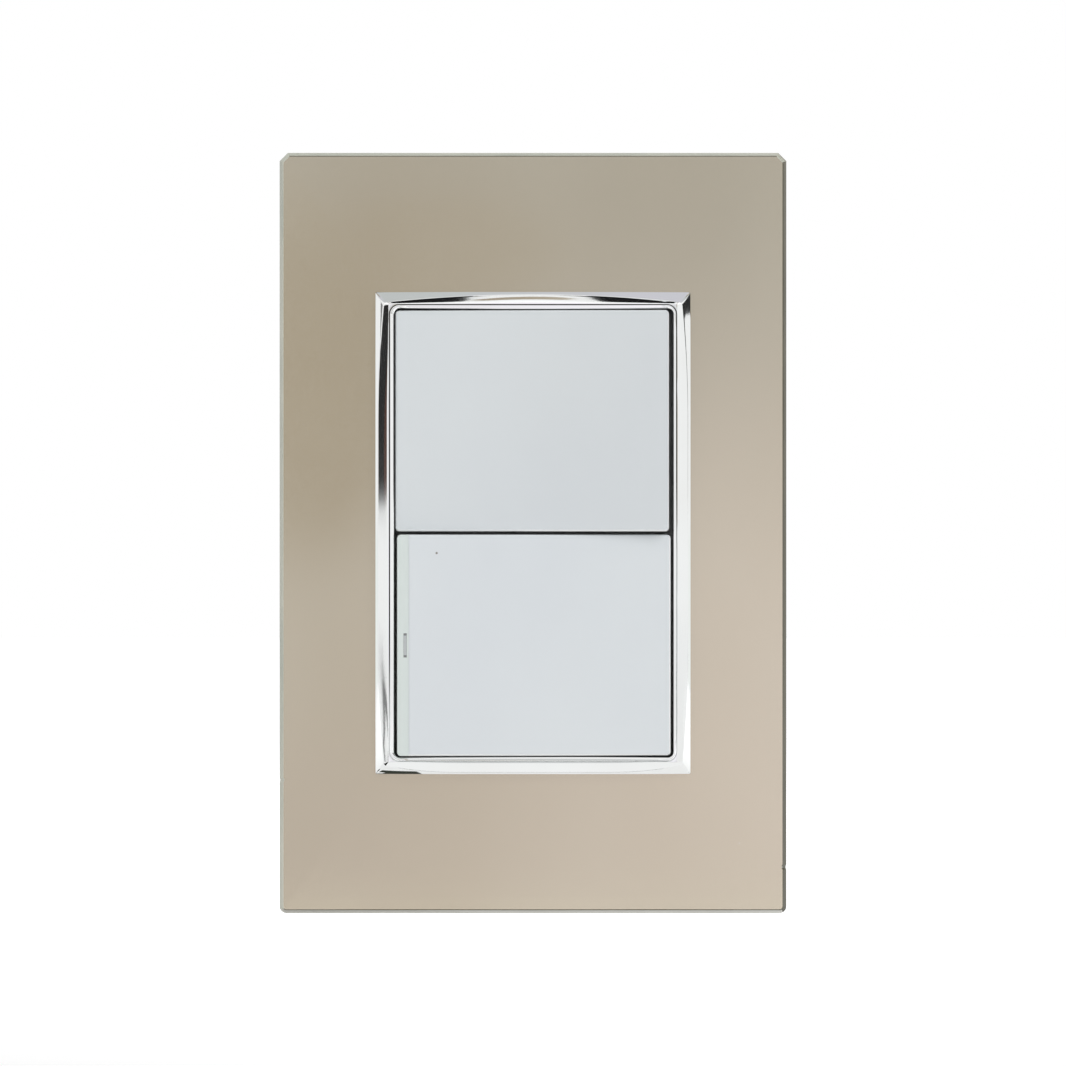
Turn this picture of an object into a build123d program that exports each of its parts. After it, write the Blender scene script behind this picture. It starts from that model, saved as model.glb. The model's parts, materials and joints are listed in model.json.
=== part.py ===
from build123d import *
import math
import os

# Double light switch for a rectangular wall box, millimetres.
# X to the right, Z up, Y into the wall: the wall's surface is the plane y = 0,
# and the front of the switch looks towards -Y. The origin lies on the wall
# plane, midway between the two fixing screws.

# A cut that passes through a wall runs on past it by this much
cut_margin = 1.0

# Glass panel
plate_width = 80.0
plate_height = 120.0
glass_thickness = 4.0
glass_bevel = 0.55
top_corner_cut = 1.3
bottom_corner_radius = 1.1
glass_overhang = 2.0

# Rockers
key_width = 43.1
key_height = 34.8
key_gap = 0.5
key_side_clearance = 0.45
key_end_clearance = 0.3
key_corner_radius = 0.6
key_edge_radius = 0.3
key_face_wall = 1.6
key_skirt_wall = 1.2
key_skirt_depth = 4.4
key_draft = 1.0
key_proud = 0.6
key_tilt = 3.0
pivot_below_face = 3.6
rib_height = 1.6
rib_thickness = 1.0
rib_spacing = 10.0

# Rocker bearing
pin_radius = 1.3
pin_length = 2.6
bearing_clearance = 0.06
bearing_wall = 1.3
web_thickness = 1.6
web_width = 7.0
web_offset = 9.6
ear_thickness = 1.8
ear_side_clearance = 0.4
seat_mouth = 1.15
ear_above_pin = 0.8

# Plunger, its barrel and its spring
barrel_radius = 3.0
barrel_bore = 2.0
barrel_length = 10.2
bore_floor = 1.8
plunger_clearance = 0.06
plunger_inside = 3.6
nose_radius = 1.2
nose_gap = 0.09
nose_taper = 2.0
stem_radius = 0.8
stem_length = 2.4
spring_radius = 1.4
spring_wire = 0.22
spring_turns = 4
spring_wire_sides = 6
spring_seat_gap = 0.05

# Chrome bezel
ring_side = 2.8
ring_end = 2.6
bezel_proud = 1.6
bezel_edge = 0.3
ridge_inset_corner = 1.75
ridge_inset_middle = 0.4
ridge_straight = 36.0
dish_depth = 0.35
lip_width = 0.7
lip_height = 0.2
opening_radius = 0.9
collar_wall = 1.6
glass_clearance = 0.2
claw_length = 7.0
claw_offset = 10.0
claw_barb = 0.9
claw_thickness = 0.4

# Panel carrier
carrier_depth = 4.6
carrier_web = 1.0
carrier_wall = 1.8
carrier_corner_radius = 1.6
carrier_opening_gap = 0.3
carrier_rib = 1.2
carrier_rib_pitch = 24.0
hook_beam = 1.4
hook_barb = 0.8
hook_width = 7.0
hook_height = 23.0
hook_clearance = 0.3

# Mounting yoke
yoke_width = 56.0
yoke_end_margin = 6.75
yoke_plate = 1.6
yoke_rim = 1.5
yoke_corner_radius = 3.0
yoke_gap = 0.6
screw_pitch = 83.5
slot_length = 8.0
slot_half_width = 1.9
pad_width = 15.0
pad_height = 9.6
pad_thickness = 1.8
yoke_rib = 1.2

# Fixing screws
screw_head_radius = 3.3
screw_head_height = 2.0
screw_neck_radius = 1.6
screw_shank_radius = 1.75
screw_shank_length = 22.0
screw_head_edge = 0.8
screw_tip_edge = 0.6
driver_cross = 3.6
driver_slot = 0.9
driver_slot_depth = 0.9
relief_radius = 4.2

# Module cover
flange_thickness = 1.6
flange_side_gap = 0.3
flange_end_gap = 0.2
cover_skirt = 1.2
cover_skirt_depth = 3.6
cover_fit = 0.15
barrel_window_gap = 0.9
stop_clearance = 0.08
stop_width = 1.4
stop_length = 5.0
stop_offset = 10.5
latch_width = 6.0
latch_height = 1.2
latch_proud = 0.8
latch_clearance = 0.2

# Module housing
housing_width = 40.0
housing_height = 26.0
housing_depth = 24.0
housing_wall = 1.4
housing_corner_radius = 1.5
housing_rear_edge = 0.7
housing_gap = 0.3
lug_proud = 1.2
lug_length = 2.8
lug_width = 10.0
lug_gap = 0.1
lug_lead = 1.1
rib_wall = 1.2
pocket_gap = 0.2
wire_hole_radius = 1.6
driver_hole_gap = 0.2

# Contact seesaw
fulcrum_depth = 9.6
knuckle_radius = 0.9
knuckle_clearance = 0.06
blade_thickness = 0.7
blade_width = 5.5
blade_tilt = 14.0
blade_end_gap = 1.6
contact_from_cage = 3.2
contact_radius = 1.5
contact_height = 0.6
rivet_radius = 0.8
rivet_head_radius = 1.2
rivet_head_height = 0.3
rivet_clearance = 0.02
contact_edge = 0.2
contact_gap = 0.06

# Terminals
strip_thickness = 0.8
strip_width = 7.0
strip_below_fulcrum = 1.6
neck_width = 1.0
stop_pip_radius = 1.1
cage_wire_gap = 1.9
cage_wall_gap = 0.6
cage_end_gap = 1.9
cage_width = 4.8
clamp_thickness = 0.8
clamp_width = 6.0
clamp_gap = 0.6
terminal_screw_radius = 1.5
terminal_head_radius = 2.4
terminal_head_edge = 0.3

# Indicator of the lower rocker
slit_width = 0.5
slit_height = 3.8
slit_from_edge = 1.25
slit_clearance = 0.03
band_width = 1.9
band_drop = 0.12
lens_flange_width = 1.3
lens_flange_height = 5.2
lens_flange_thickness = 0.6
lamp_radius = 1.2
lamp_length = 6.4
lamp_cap_length = 0.8
lamp_cap_radius = 1.3
lead_from_skirt = 0.85
lamp_above_flange = 0.3
cradle_wall = 0.8
lead_radius = 0.3
lead_bend = 0.7
lead_sides = 6
lead_reach = 1.2

# Planes of depth, from the wall forwards
glass_back = -carrier_depth
glass_front = glass_back - glass_thickness
bezel_crest = glass_front - bezel_proud
key_face = bezel_crest - key_proud
key_back = key_face + key_face_wall
key_skirt_end = key_face + key_skirt_depth
pivot_y = key_face + pivot_below_face
flange_front = glass_back
yoke_front = flange_front + flange_thickness
yoke_plate_back = yoke_front + yoke_plate
pad_front = -pad_thickness
web_back = glass_back + carrier_web
flange_back = yoke_front
claw_front = web_back + latch_clearance / 2
claw_back = claw_front + claw_thickness
housing_back = flange_back + housing_depth
rear_wall_front = housing_back - housing_wall

# Sizes that follow from the rockers outwards
opening_width = key_width + 2 * key_side_clearance
opening_height = 2 * key_height + key_gap + 2 * key_end_clearance
bezel_width = opening_width + 2 * ring_side
bezel_height = opening_height + 2 * ring_end
collar_width = opening_width + 2 * collar_wall
collar_height = opening_height + 2 * collar_wall
glass_opening_width = collar_width + 2 * glass_clearance
glass_opening_height = collar_height + 2 * glass_clearance
carrier_width = plate_width - 2 * glass_overhang
carrier_height = plate_height - 2 * glass_overhang
carrier_opening_width = glass_opening_width + 2 * carrier_opening_gap
carrier_opening_height = glass_opening_height + 2 * carrier_opening_gap
module_pitch = key_height + key_gap
screw_z = screw_pitch / 2
yoke_height = screw_pitch + 2 * yoke_end_margin

# Sizes inside a module
inner_half_width = housing_width / 2 - housing_wall
inner_half_height = housing_height / 2 - housing_wall
barrel_end = key_back + barrel_length
bore_bottom = key_back + bore_floor
plunger_front = barrel_end - plunger_inside
arch_inner = knuckle_radius + knuckle_clearance
arch_outer = arch_inner + blade_thickness
nose_tip = fulcrum_depth - arch_outer - nose_gap
blade_front = -blade_thickness / 2
blade_back = blade_thickness / 2
strip_front = fulcrum_depth + strip_below_fulcrum
strip_back = strip_front + strip_thickness
cage_outer = inner_half_width - cage_wall_gap
cage_inner = cage_outer - cage_width
cage_end = rear_wall_front - cage_end_gap
contact_reach = cage_inner - contact_from_cage
blade_arm = cage_inner - blade_end_gap
wire_x = cage_inner + strip_thickness + cage_wire_gap / 2
clamp_x = cage_inner + strip_thickness + cage_wire_gap
terminal_screw_y = (strip_back + cage_end) / 2
slit_x = -key_width / 2 + slit_from_edge
lamp_x = lead_from_skirt + cover_skirt + cover_fit - inner_half_width
lamp_y = flange_front - lamp_above_flange - lamp_cap_radius
lead_z = lamp_length / 2 + lead_reach
ear_z = web_offset + web_thickness + ear_side_clearance


def plane_at(y):
    """A sketch plane across Y, with sketch x along X and sketch y along Z."""
    return Plane(origin=(0, y, 0), x_dir=(1, 0, 0), z_dir=(0, -1, 0))


def slab(width, height, y_front, y_back, x=0.0, z=0.0, radius=0.0):
    """A plate between two depths, with its corners rounded in the view from the front."""
    outline = RectangleRounded(width, height, radius) if radius else Rectangle(width, height)
    return extrude(plane_at(y_back) * Pos(x, z) * outline, y_back - y_front)


def disc(radius, y_front, y_back, x=0.0, z=0.0):
    """A round pin along Y."""
    return extrude(plane_at(y_back) * Pos(x, z) * Circle(radius), y_back - y_front)


def pin_along_z(radius, z_low, z_high, x=0.0, y=0.0):
    return extrude(Plane.XY.offset(z_low) * Pos(x, y) * Circle(radius), z_high - z_low)


def pin_along_x(radius, x_low, x_high, y, z=0.0):
    return extrude(Plane.YZ.offset(x_low) * Pos(y, z) * Circle(radius), x_high - x_low)


def across_z(profile, width):
    """A flat profile drawn in X and Y, given its width along Z about z = 0."""
    return extrude(Plane.XY.offset(-width / 2) * profile, width)


def bar(x_low, x_high, y_low, y_high):
    """A rectangle in X and Y from its limits."""
    return Pos((x_low + x_high) / 2, (y_low + y_high) / 2) * Rectangle(x_high - x_low, y_high - y_low)


def plate_outline():
    """The glass panel's outline: two cut corners above, two rounded corners below."""
    half_w = plate_width / 2
    half_h = plate_height / 2
    cut = top_corner_cut
    radius = bottom_corner_radius
    outline = Polyline(
        (-half_w, -half_h),
        (half_w, -half_h),
        (half_w, half_h - cut),
        (half_w - cut, half_h),
        (-half_w + cut, half_h),
        (-half_w, half_h - cut),
        (-half_w, -half_h),
    )
    face = make_face(outline)
    return fillet(face.vertices().sort_by(Axis.Y)[:2], radius)


def make_glass_panel():
    body = extrude(plane_at(glass_back) * plate_outline(), glass_thickness)
    front = body.faces().sort_by(Axis.Y)[0]
    body = chamfer(front.edges(), glass_bevel)
    return body - slab(glass_opening_width, glass_opening_height, glass_front, glass_back)


def bezel_ring(width, height):
    """A rectangle whose upright sides are parted where the ridge turns straight."""
    half_w = width / 2
    half_h = height / 2
    bend = ridge_straight / 2
    return make_face(
        Polyline(
            (-half_w, -half_h),
            (half_w, -half_h),
            (half_w, -bend),
            (half_w, bend),
            (half_w, half_h),
            (-half_w, half_h),
            (-half_w, bend),
            (-half_w, -bend),
            (-half_w, -half_h),
        )
    )


def ridge_outline():
    """The ridge of the bezel: bowed above and below, and at the sides straight between two arcs."""
    half_w = bezel_width / 2 - ridge_inset_corner
    half_h = bezel_height / 2 - ridge_inset_corner
    bow_w = bezel_width / 2 - ridge_inset_middle
    bow_h = bezel_height / 2 - ridge_inset_middle
    bend = ridge_straight / 2
    lines = []
    for side in (-1, 1):
        lines.append(ThreePointArc((-half_w, side * half_h), (0, side * bow_h), (half_w, side * half_h)))
        lines.append(Line((side * bow_w, -bend), (side * bow_w, bend)))
        for end in (-1, 1):
            foot = (side * bow_w, end * bend)
            corner = (side * half_w, end * half_h)
            lines.append(TangentArc(foot, corner, tangent=(0, end)))
    return make_face(Curve() + lines)


def make_chrome_bezel():
    edge_top = glass_front - bezel_edge
    lip_width_x = opening_width + 2 * lip_width
    lip_width_z = opening_height + 2 * lip_width
    dish_floor = bezel_crest + dish_depth
    base = slab(bezel_width, bezel_height, edge_top, glass_front)
    crown = loft(
        [
            plane_at(edge_top) * bezel_ring(bezel_width, bezel_height),
            plane_at(bezel_crest) * ridge_outline(),
        ],
        ruled=True,
    )
    dish = loft(
        [
            plane_at(bezel_crest) * ridge_outline(),
            plane_at(dish_floor) * bezel_ring(lip_width_x, lip_width_z),
        ],
        ruled=True,
    )
    lip = slab(lip_width_x, lip_width_z, dish_floor - lip_height, glass_front, radius=opening_radius)
    collar = slab(collar_width, collar_height, glass_front, claw_back, radius=opening_radius)
    body = base + crown - dish + lip + collar
    for side in (-1, 1):
        for height in (-claw_offset, claw_offset):
            body += slab(
                claw_barb + collar_wall, claw_length, claw_front, claw_back,
                x=side * (collar_width / 2 + (claw_barb - collar_wall) / 2), z=height,
            )
    return body - slab(opening_width, opening_height, bezel_crest - cut_margin, 0, radius=opening_radius)


def make_panel_carrier():
    body = slab(carrier_width, carrier_height, glass_back, 0, radius=carrier_corner_radius)
    body -= slab(carrier_width - 2 * carrier_wall, carrier_height - 2 * carrier_wall, web_back, 0)
    rib_back = -pad_thickness
    side_from = yoke_width / 2 + yoke_gap
    side_to = carrier_width / 2 - carrier_wall / 2
    end_from = yoke_height / 2 + yoke_gap
    end_to = carrier_height / 2 - carrier_wall / 2
    for side in (-1, 1):
        for step in (-2, -1, 0, 1, 2):
            body += slab(
                side_to - side_from, carrier_rib, web_back, rib_back,
                x=side * (side_from + side_to) / 2, z=step * carrier_rib_pitch,
            )
        for step in (-1, 0, 1):
            body += slab(
                carrier_rib, end_to - end_from, web_back, rib_back,
                x=step * carrier_rib_pitch, z=side * (end_from + end_to) / 2,
            )
    body -= slab(carrier_opening_width, carrier_opening_height, glass_back, 0)
    for side in (-1, 1):
        body -= disc(relief_radius, glass_back, 0, z=side * screw_z)
        body -= slab(2 * relief_radius, screw_z, glass_back, 0, z=side * screw_z / 2)
    hook_from = carrier_opening_width / 2
    barb_front = yoke_plate_back + latch_clearance / 2
    for side in (-1, 1):
        for height in (-hook_height, hook_height):
            beam = slab(
                hook_beam, hook_width, web_back, -latch_clearance,
                x=side * (hook_from + hook_beam / 2), z=height,
            )
            barb = slab(
                hook_barb, hook_width, barb_front, -latch_clearance,
                x=side * (hook_from + hook_beam + hook_barb / 2), z=height,
            )
            body += beam + barb
    return body


def make_mounting_yoke():
    body = slab(yoke_width, yoke_height, yoke_front, 0, radius=yoke_corner_radius)
    hollow_w = yoke_width - 2 * yoke_rim
    hollow_h = yoke_height - 2 * yoke_rim
    body -= slab(hollow_w, hollow_h, yoke_plate_back, 0, radius=yoke_corner_radius - yoke_rim)
    for step in (-1, 0, 1):
        body += slab(hollow_w, yoke_rib, yoke_plate_back, 0, z=step * module_pitch)
    window_w = housing_width + 2 * housing_gap
    window_h = housing_height + 2 * housing_gap
    for side in (-1, 1):
        body -= slab(
            window_w + 2 * lug_proud, window_h, yoke_plate_back, 0,
            z=side * module_pitch / 2,
        )
        body -= slab(
            window_w, window_h, yoke_front, 0,
            z=side * module_pitch / 2, radius=housing_corner_radius,
        )
        pad = slab(pad_width, pad_height, pad_front, 0, z=side * screw_z, radius=yoke_rim)
        recess = slab(pad_width, pad_height, yoke_front, pad_front, z=side * screw_z, radius=yoke_rim)
        slot = extrude(
            plane_at(0) * Pos(0, side * screw_z) * SlotOverall(slot_length, 2 * slot_half_width),
            -yoke_front,
        )
        body = body - recess + pad - slot
    hook_from = carrier_opening_width / 2 - hook_clearance
    hook_to = carrier_opening_width / 2 + hook_beam + hook_clearance
    for side in (-1, 1):
        for height in (-hook_height, hook_height):
            body -= slab(
                hook_to - hook_from, hook_width + 2 * hook_clearance, yoke_front, 0,
                x=side * (hook_from + hook_to) / 2, z=height,
            )
            body -= slab(
                hook_barb + 2 * hook_clearance, hook_width + 2 * hook_clearance, yoke_plate_back, 0,
                x=side * (hook_to + hook_barb / 2), z=height,
            )
    return body


def make_fixing_screw(z):
    head_top = pad_front - screw_head_height
    head = disc(screw_head_radius, head_top, pad_front, z=z)
    head = chamfer(head.faces().sort_by(Axis.Y)[0].edges(), screw_head_edge)
    head -= slab(driver_slot, driver_cross, head_top, head_top + driver_slot_depth, z=z)
    head -= slab(driver_cross, driver_slot, head_top, head_top + driver_slot_depth, z=z)
    neck = disc(screw_neck_radius, pad_front, 0, z=z)
    shank = disc(screw_shank_radius, 0, screw_shank_length, z=z)
    shank = chamfer(shank.faces().sort_by(Axis.Y)[-1].edges(), screw_tip_edge)
    return head + neck + shank


def make_key(with_slit):
    """A rocker at mid-travel: hollow key, barrel, bearing pins and ribs."""
    inward = Plane(origin=(0, key_face, 0), x_dir=(1, 0, 0), z_dir=(0, 1, 0))
    outline = RectangleRounded(key_width, key_height, key_corner_radius)
    body = extrude(inward * outline, key_skirt_depth, taper=key_draft)
    body = fillet(body.faces().sort_by(Axis.Y)[0].edges(), key_edge_radius)
    hollow_w = key_width - 2 * key_skirt_wall
    hollow_h = key_height - 2 * key_skirt_wall
    body -= slab(hollow_w, hollow_h, key_back, key_skirt_end, radius=key_corner_radius)
    rib_end = key_back + rib_height
    for step in (-0.5, 0.5):
        body += slab(hollow_w, rib_thickness, key_back, rib_end, z=step * rib_spacing)
    for step in (-1, 1):
        body += slab(rib_thickness, hollow_h, key_back, rib_end, x=step * rib_spacing)
    for side in (-1, 1):
        web = slab(
            web_width, web_thickness, key_back, pivot_y + pin_radius,
            z=side * (web_offset + web_thickness / 2),
        )
        z_from = side * (web_offset + web_thickness / 2)
        z_to = side * (web_offset + web_thickness + pin_length)
        body += web + pin_along_z(pin_radius, min(z_from, z_to), max(z_from, z_to), y=pivot_y)
    body += disc(barrel_radius, key_back, barrel_end)
    body -= disc(barrel_bore, bore_bottom, barrel_end)
    if with_slit:
        band = slab(
            band_width, key_height, key_face, key_face + band_drop,
            x=-key_width / 2 + band_width / 2,
        )
        slit = slab(slit_width, slit_height, key_face, key_back, x=slit_x)
        body = body - band - slit
    return body


def make_plunger():
    """Turned pin with a rounded nose and a stem inside the spring, at mid-travel."""
    radius = barrel_bore - plunger_clearance
    nose_centre = nose_tip - nose_radius
    profile = make_face(
        Polyline(
            (0, plunger_front - stem_length),
            (stem_radius, plunger_front - stem_length),
            (stem_radius, plunger_front),
            (radius, plunger_front),
            (radius, nose_centre - nose_taper),
            (nose_radius, nose_centre),
        )
        + ThreePointArc(
            (nose_radius, nose_centre),
            (nose_radius * math.sin(math.pi / 4), nose_centre + nose_radius * math.cos(math.pi / 4)),
            (0, nose_tip),
        )
        + Line((0, nose_tip), (0, plunger_front - stem_length))
    )
    return revolve(Plane.XY * profile, Axis.Y)


def make_spring():
    """Compression spring between the barrel's floor and the plunger's shoulder.

    Its wire has six sides, which keeps the small coil light.
    """
    start = bore_bottom + spring_wire + spring_seat_gap
    end = plunger_front - spring_wire - spring_seat_gap
    height = end - start
    helix = Helix(height / spring_turns, height, spring_radius)
    section = RegularPolygon(spring_wire, spring_wire_sides)
    wire = sweep(Plane(origin=helix @ 0, z_dir=helix % 0) * section, path=helix)
    return Pos(0, start, 0) * Rot(-90, 0, 0) * wire


def blade_profile():
    """Gull-wing strip with an arch over the knuckle, drawn about the fulcrum."""
    bend = blade_tilt / 2
    arm = bar(0, blade_arm, blade_front, blade_back)
    hump = Circle(arch_outer) & bar(-arch_outer, arch_outer, -arch_outer, blade_back)
    return hump + Rot(0, 0, -bend) * arm + Rot(0, 0, bend) * mirror(arm, Plane.YZ) - Circle(arch_inner) - bar(
        -arch_inner, arch_inner, 0, arch_outer
    )


def make_blade():
    """The seesaw at mid-travel, with the rivet hole in its right arm."""
    bend = blade_tilt / 2
    blade = across_z(blade_profile(), blade_width)
    hole = disc(rivet_radius, blade_front - cut_margin, blade_back + cut_margin, x=contact_reach)
    hole = Rot(0, 0, -bend) * hole
    return Pos(0, fulcrum_depth, 0) * (blade - hole)


def make_moving_contact():
    bend = blade_tilt / 2
    rivet = disc(rivet_radius - rivet_clearance, blade_front, blade_back, x=contact_reach)
    head = disc(contact_radius, blade_back, blade_back + contact_height, x=contact_reach)
    head = chamfer(head.faces().sort_by(Axis.Y)[-1].edges(), contact_edge)
    button = disc(rivet_head_radius, blade_front - rivet_head_height, blade_front, x=contact_reach)
    return Pos(0, fulcrum_depth, 0) * Rot(0, 0, -bend) * (rivet + head + button)


def make_fixed_contact():
    top = fulcrum_depth + blade_back + contact_height + contact_gap
    head = disc(contact_radius, top, strip_front, x=contact_reach)
    head = chamfer(head.faces().sort_by(Axis.Y)[0].edges(), contact_edge)
    rivet = disc(rivet_radius - rivet_clearance, strip_front, strip_back, x=contact_reach)
    return head + rivet


def cage_profile():
    """The folded cage of a terminal: two legs that the conductor goes between."""
    base = bar(cage_inner, cage_outer, strip_front, strip_back)
    inner_leg = bar(cage_inner, cage_inner + strip_thickness, strip_front, cage_end)
    outer_leg = bar(cage_outer - strip_thickness, cage_outer, strip_front, cage_end)
    return base + inner_leg + outer_leg


def make_load_terminal():
    tab = bar(contact_reach - contact_radius, cage_outer, strip_front, strip_back)
    body = across_z(cage_profile() + tab, strip_width)
    body -= disc(rivet_radius, strip_front, strip_back, x=contact_reach)
    return body - pin_along_x(terminal_screw_radius, clamp_x, cage_outer, terminal_screw_y)


def make_common_terminal():
    strip = bar(-cage_outer, neck_width, strip_front, strip_back)
    neck = bar(-neck_width / 2, neck_width / 2, fulcrum_depth, strip_back)
    knuckle = Pos(0, fulcrum_depth) * Circle(knuckle_radius)
    body = across_z(mirror(cage_profile(), Plane.YZ) + strip, strip_width)
    body += across_z(neck + knuckle, blade_width)
    pip_top = fulcrum_depth + blade_back + contact_gap
    body += disc(stop_pip_radius, pip_top, strip_back, x=-contact_reach)
    return body - pin_along_x(terminal_screw_radius, -cage_outer, -clamp_x, terminal_screw_y)


def make_clamp_plate(side):
    profile = bar(clamp_x, clamp_x + clamp_thickness, strip_back + clamp_gap, cage_end - clamp_gap / 2)
    plate = across_z(profile, clamp_width)
    return plate if side > 0 else mirror(plate, Plane.YZ)


def make_terminal_screw(side):
    shank = pin_along_x(terminal_screw_radius, clamp_x + clamp_thickness, inner_half_width, terminal_screw_y)
    head = pin_along_x(terminal_head_radius, inner_half_width, housing_width / 2, terminal_screw_y)
    head = chamfer(head.faces().sort_by(Axis.X)[-1].edges(), terminal_head_edge)
    groove_bottom = housing_width / 2 - driver_slot_depth
    groove_low = terminal_screw_y - driver_slot / 2
    groove = across_z(
        bar(groove_bottom, housing_width / 2, groove_low, groove_low + driver_slot),
        2 * terminal_head_radius,
    )
    screw = shank + head - groove
    return screw if side > 0 else mirror(screw, Plane.YZ)


def make_housing():
    body = slab(housing_width, housing_height, flange_back, housing_back, radius=housing_corner_radius)
    body = chamfer(body.faces().sort_by(Axis.Y)[-1].edges(), housing_rear_edge)
    body -= slab(2 * inner_half_width, 2 * inner_half_height, flange_back, rear_wall_front)
    pocket_z = strip_width / 2 + pocket_gap + rib_wall / 2
    pocket_from = cage_inner - strip_thickness
    for side in (-1, 1):
        for edge in (-1, 1):
            body += slab(
                inner_half_width - pocket_from, rib_wall, strip_front, rear_wall_front,
                x=side * (inner_half_width + pocket_from) / 2, z=edge * pocket_z,
            )
        lug = slab(
            lug_proud, lug_width, yoke_plate_back + lug_gap, yoke_plate_back + lug_gap + lug_length,
            x=side * (housing_width / 2 + lug_proud / 2),
        )
        lug = chamfer(
            lug.edges().filter_by(Axis.Z).group_by(Axis.Y)[-1].sort_by(Axis.X)[-1 if side > 0 else 0],
            lug_lead,
        )
        body += lug
    for x in (0, contact_reach):
        body += slab(2 * contact_radius, strip_width, strip_back, rear_wall_front, x=x)
    driver_hole = pin_along_x(
        terminal_head_radius + driver_hole_gap,
        inner_half_width - cut_margin,
        housing_width / 2 + cut_margin,
        terminal_screw_y,
    )
    body = body - driver_hole - mirror(driver_hole, Plane.YZ)
    for side in (-1, 1):
        body -= disc(wire_hole_radius, rear_wall_front, housing_back, x=side * wire_x)
        window_y = flange_back + cover_skirt_depth / 2
        body -= slab(
            latch_width + 2 * latch_clearance, housing_wall,
            window_y - latch_height / 2 - latch_clearance, window_y + latch_height / 2 + latch_clearance,
            z=side * (inner_half_height + housing_wall / 2),
        )
    return body


def make_module_cover(with_lamp):
    flange_w = opening_width - 2 * flange_side_gap
    flange_h = module_pitch - 2 * flange_end_gap
    body = slab(flange_w, flange_h, flange_front, flange_back, radius=key_corner_radius)
    skirt_w = 2 * (inner_half_width - cover_fit)
    skirt_h = 2 * (inner_half_height - cover_fit)
    skirt_end = flange_back + cover_skirt_depth
    skirt = slab(skirt_w, skirt_h, flange_back, skirt_end)
    skirt -= slab(skirt_w - 2 * cover_skirt, skirt_h - 2 * cover_skirt, flange_back, skirt_end)
    body += skirt
    latch_y = flange_back + cover_skirt_depth / 2
    for side in (-1, 1):
        body += slab(
            latch_width, latch_proud + cover_skirt, latch_y - latch_height / 2, latch_y + latch_height / 2,
            z=side * (skirt_h / 2 + (latch_proud - cover_skirt) / 2),
        )
    seat_radius = pin_radius + bearing_clearance
    ear_width = 2 * (seat_radius + bearing_wall)
    ear_top = pivot_y - ear_above_pin
    for side in (-1, 1):
        ear = slab(ear_width, ear_thickness, ear_top, flange_front, z=side * (ear_z + ear_thickness / 2))
        z_low = side * (ear_z + ear_thickness / 2) - ear_thickness
        seat = pin_along_z(seat_radius, z_low, z_low + 2 * ear_thickness, y=pivot_y)
        mouth = slab(2 * seat_mouth, ear_thickness, ear_top, pivot_y, z=side * (ear_z + ear_thickness / 2))
        body += ear - seat - mouth
    window = 2 * (barrel_radius + barrel_window_gap)
    body -= slab(window, window, flange_front, flange_back, radius=barrel_window_gap)
    tilt = math.radians(key_tilt)
    corner_x = key_width / 2
    skirt_reach = key_skirt_end - pivot_y
    stop_top = pivot_y + corner_x * math.sin(tilt) + skirt_reach * math.cos(tilt) + stop_clearance
    for side in (-1, 1):
        for edge in (-1, 1):
            body += slab(
                stop_width, stop_length, stop_top, flange_front,
                x=side * (flange_w / 2 - stop_width / 2), z=edge * stop_offset,
            )
    if with_lamp:
        cradle_z = lamp_length / 2 - lamp_cap_length / 2
        for edge in (-1, 1):
            cradle = slab(
                2 * (lamp_cap_radius + cradle_wall), cradle_wall, lamp_y, flange_front,
                x=lamp_x, z=edge * cradle_z,
            )
            z_low = edge * cradle_z - cradle_wall
            cap_seat = lamp_cap_radius + slit_clearance
            cradle -= pin_along_z(cap_seat, z_low, z_low + 2 * cradle_wall, x=lamp_x, y=lamp_y)
            body += cradle
            body -= disc(lead_radius + slit_clearance, flange_front, flange_back, x=lamp_x, z=edge * lead_z)
    return body


def make_pilot_lamp():
    """Glass tube lamp with end caps, and its two leads down through the cover."""
    half = lamp_length / 2
    body = pin_along_z(lamp_radius, -half + lamp_cap_length, half - lamp_cap_length, x=lamp_x, y=lamp_y)
    for side in (-1, 1):
        ends = sorted((side * half, side * (half - lamp_cap_length)))
        body += pin_along_z(lamp_cap_radius, ends[0], ends[1], x=lamp_x, y=lamp_y)
        route = FilletPolyline(
            (lamp_x, lamp_y, side * (half - lamp_cap_length / 2)),
            (lamp_x, lamp_y, side * lead_z),
            (lamp_x, flange_back + cover_skirt_depth, side * lead_z),
            radius=lead_bend,
        )
        section = RegularPolygon(lead_radius, lead_sides)
        body += sweep(Plane(origin=route @ 0, z_dir=route % 0) * section, path=route)
    return body


def make_indicator_lens():
    """Clear light guide: a thin blade through the rocker's face and a flange behind it."""
    blade = slab(
        slit_width - 2 * slit_clearance, slit_height - 2 * slit_clearance,
        key_face + band_drop, key_back, x=slit_x,
    )
    flange_x = -key_width / 2 + key_skirt_wall + slit_clearance + lens_flange_width / 2
    flange = slab(
        lens_flange_width, lens_flange_height, key_back, key_back + lens_flange_thickness,
        x=flange_x,
    )
    return blade + flange


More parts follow.
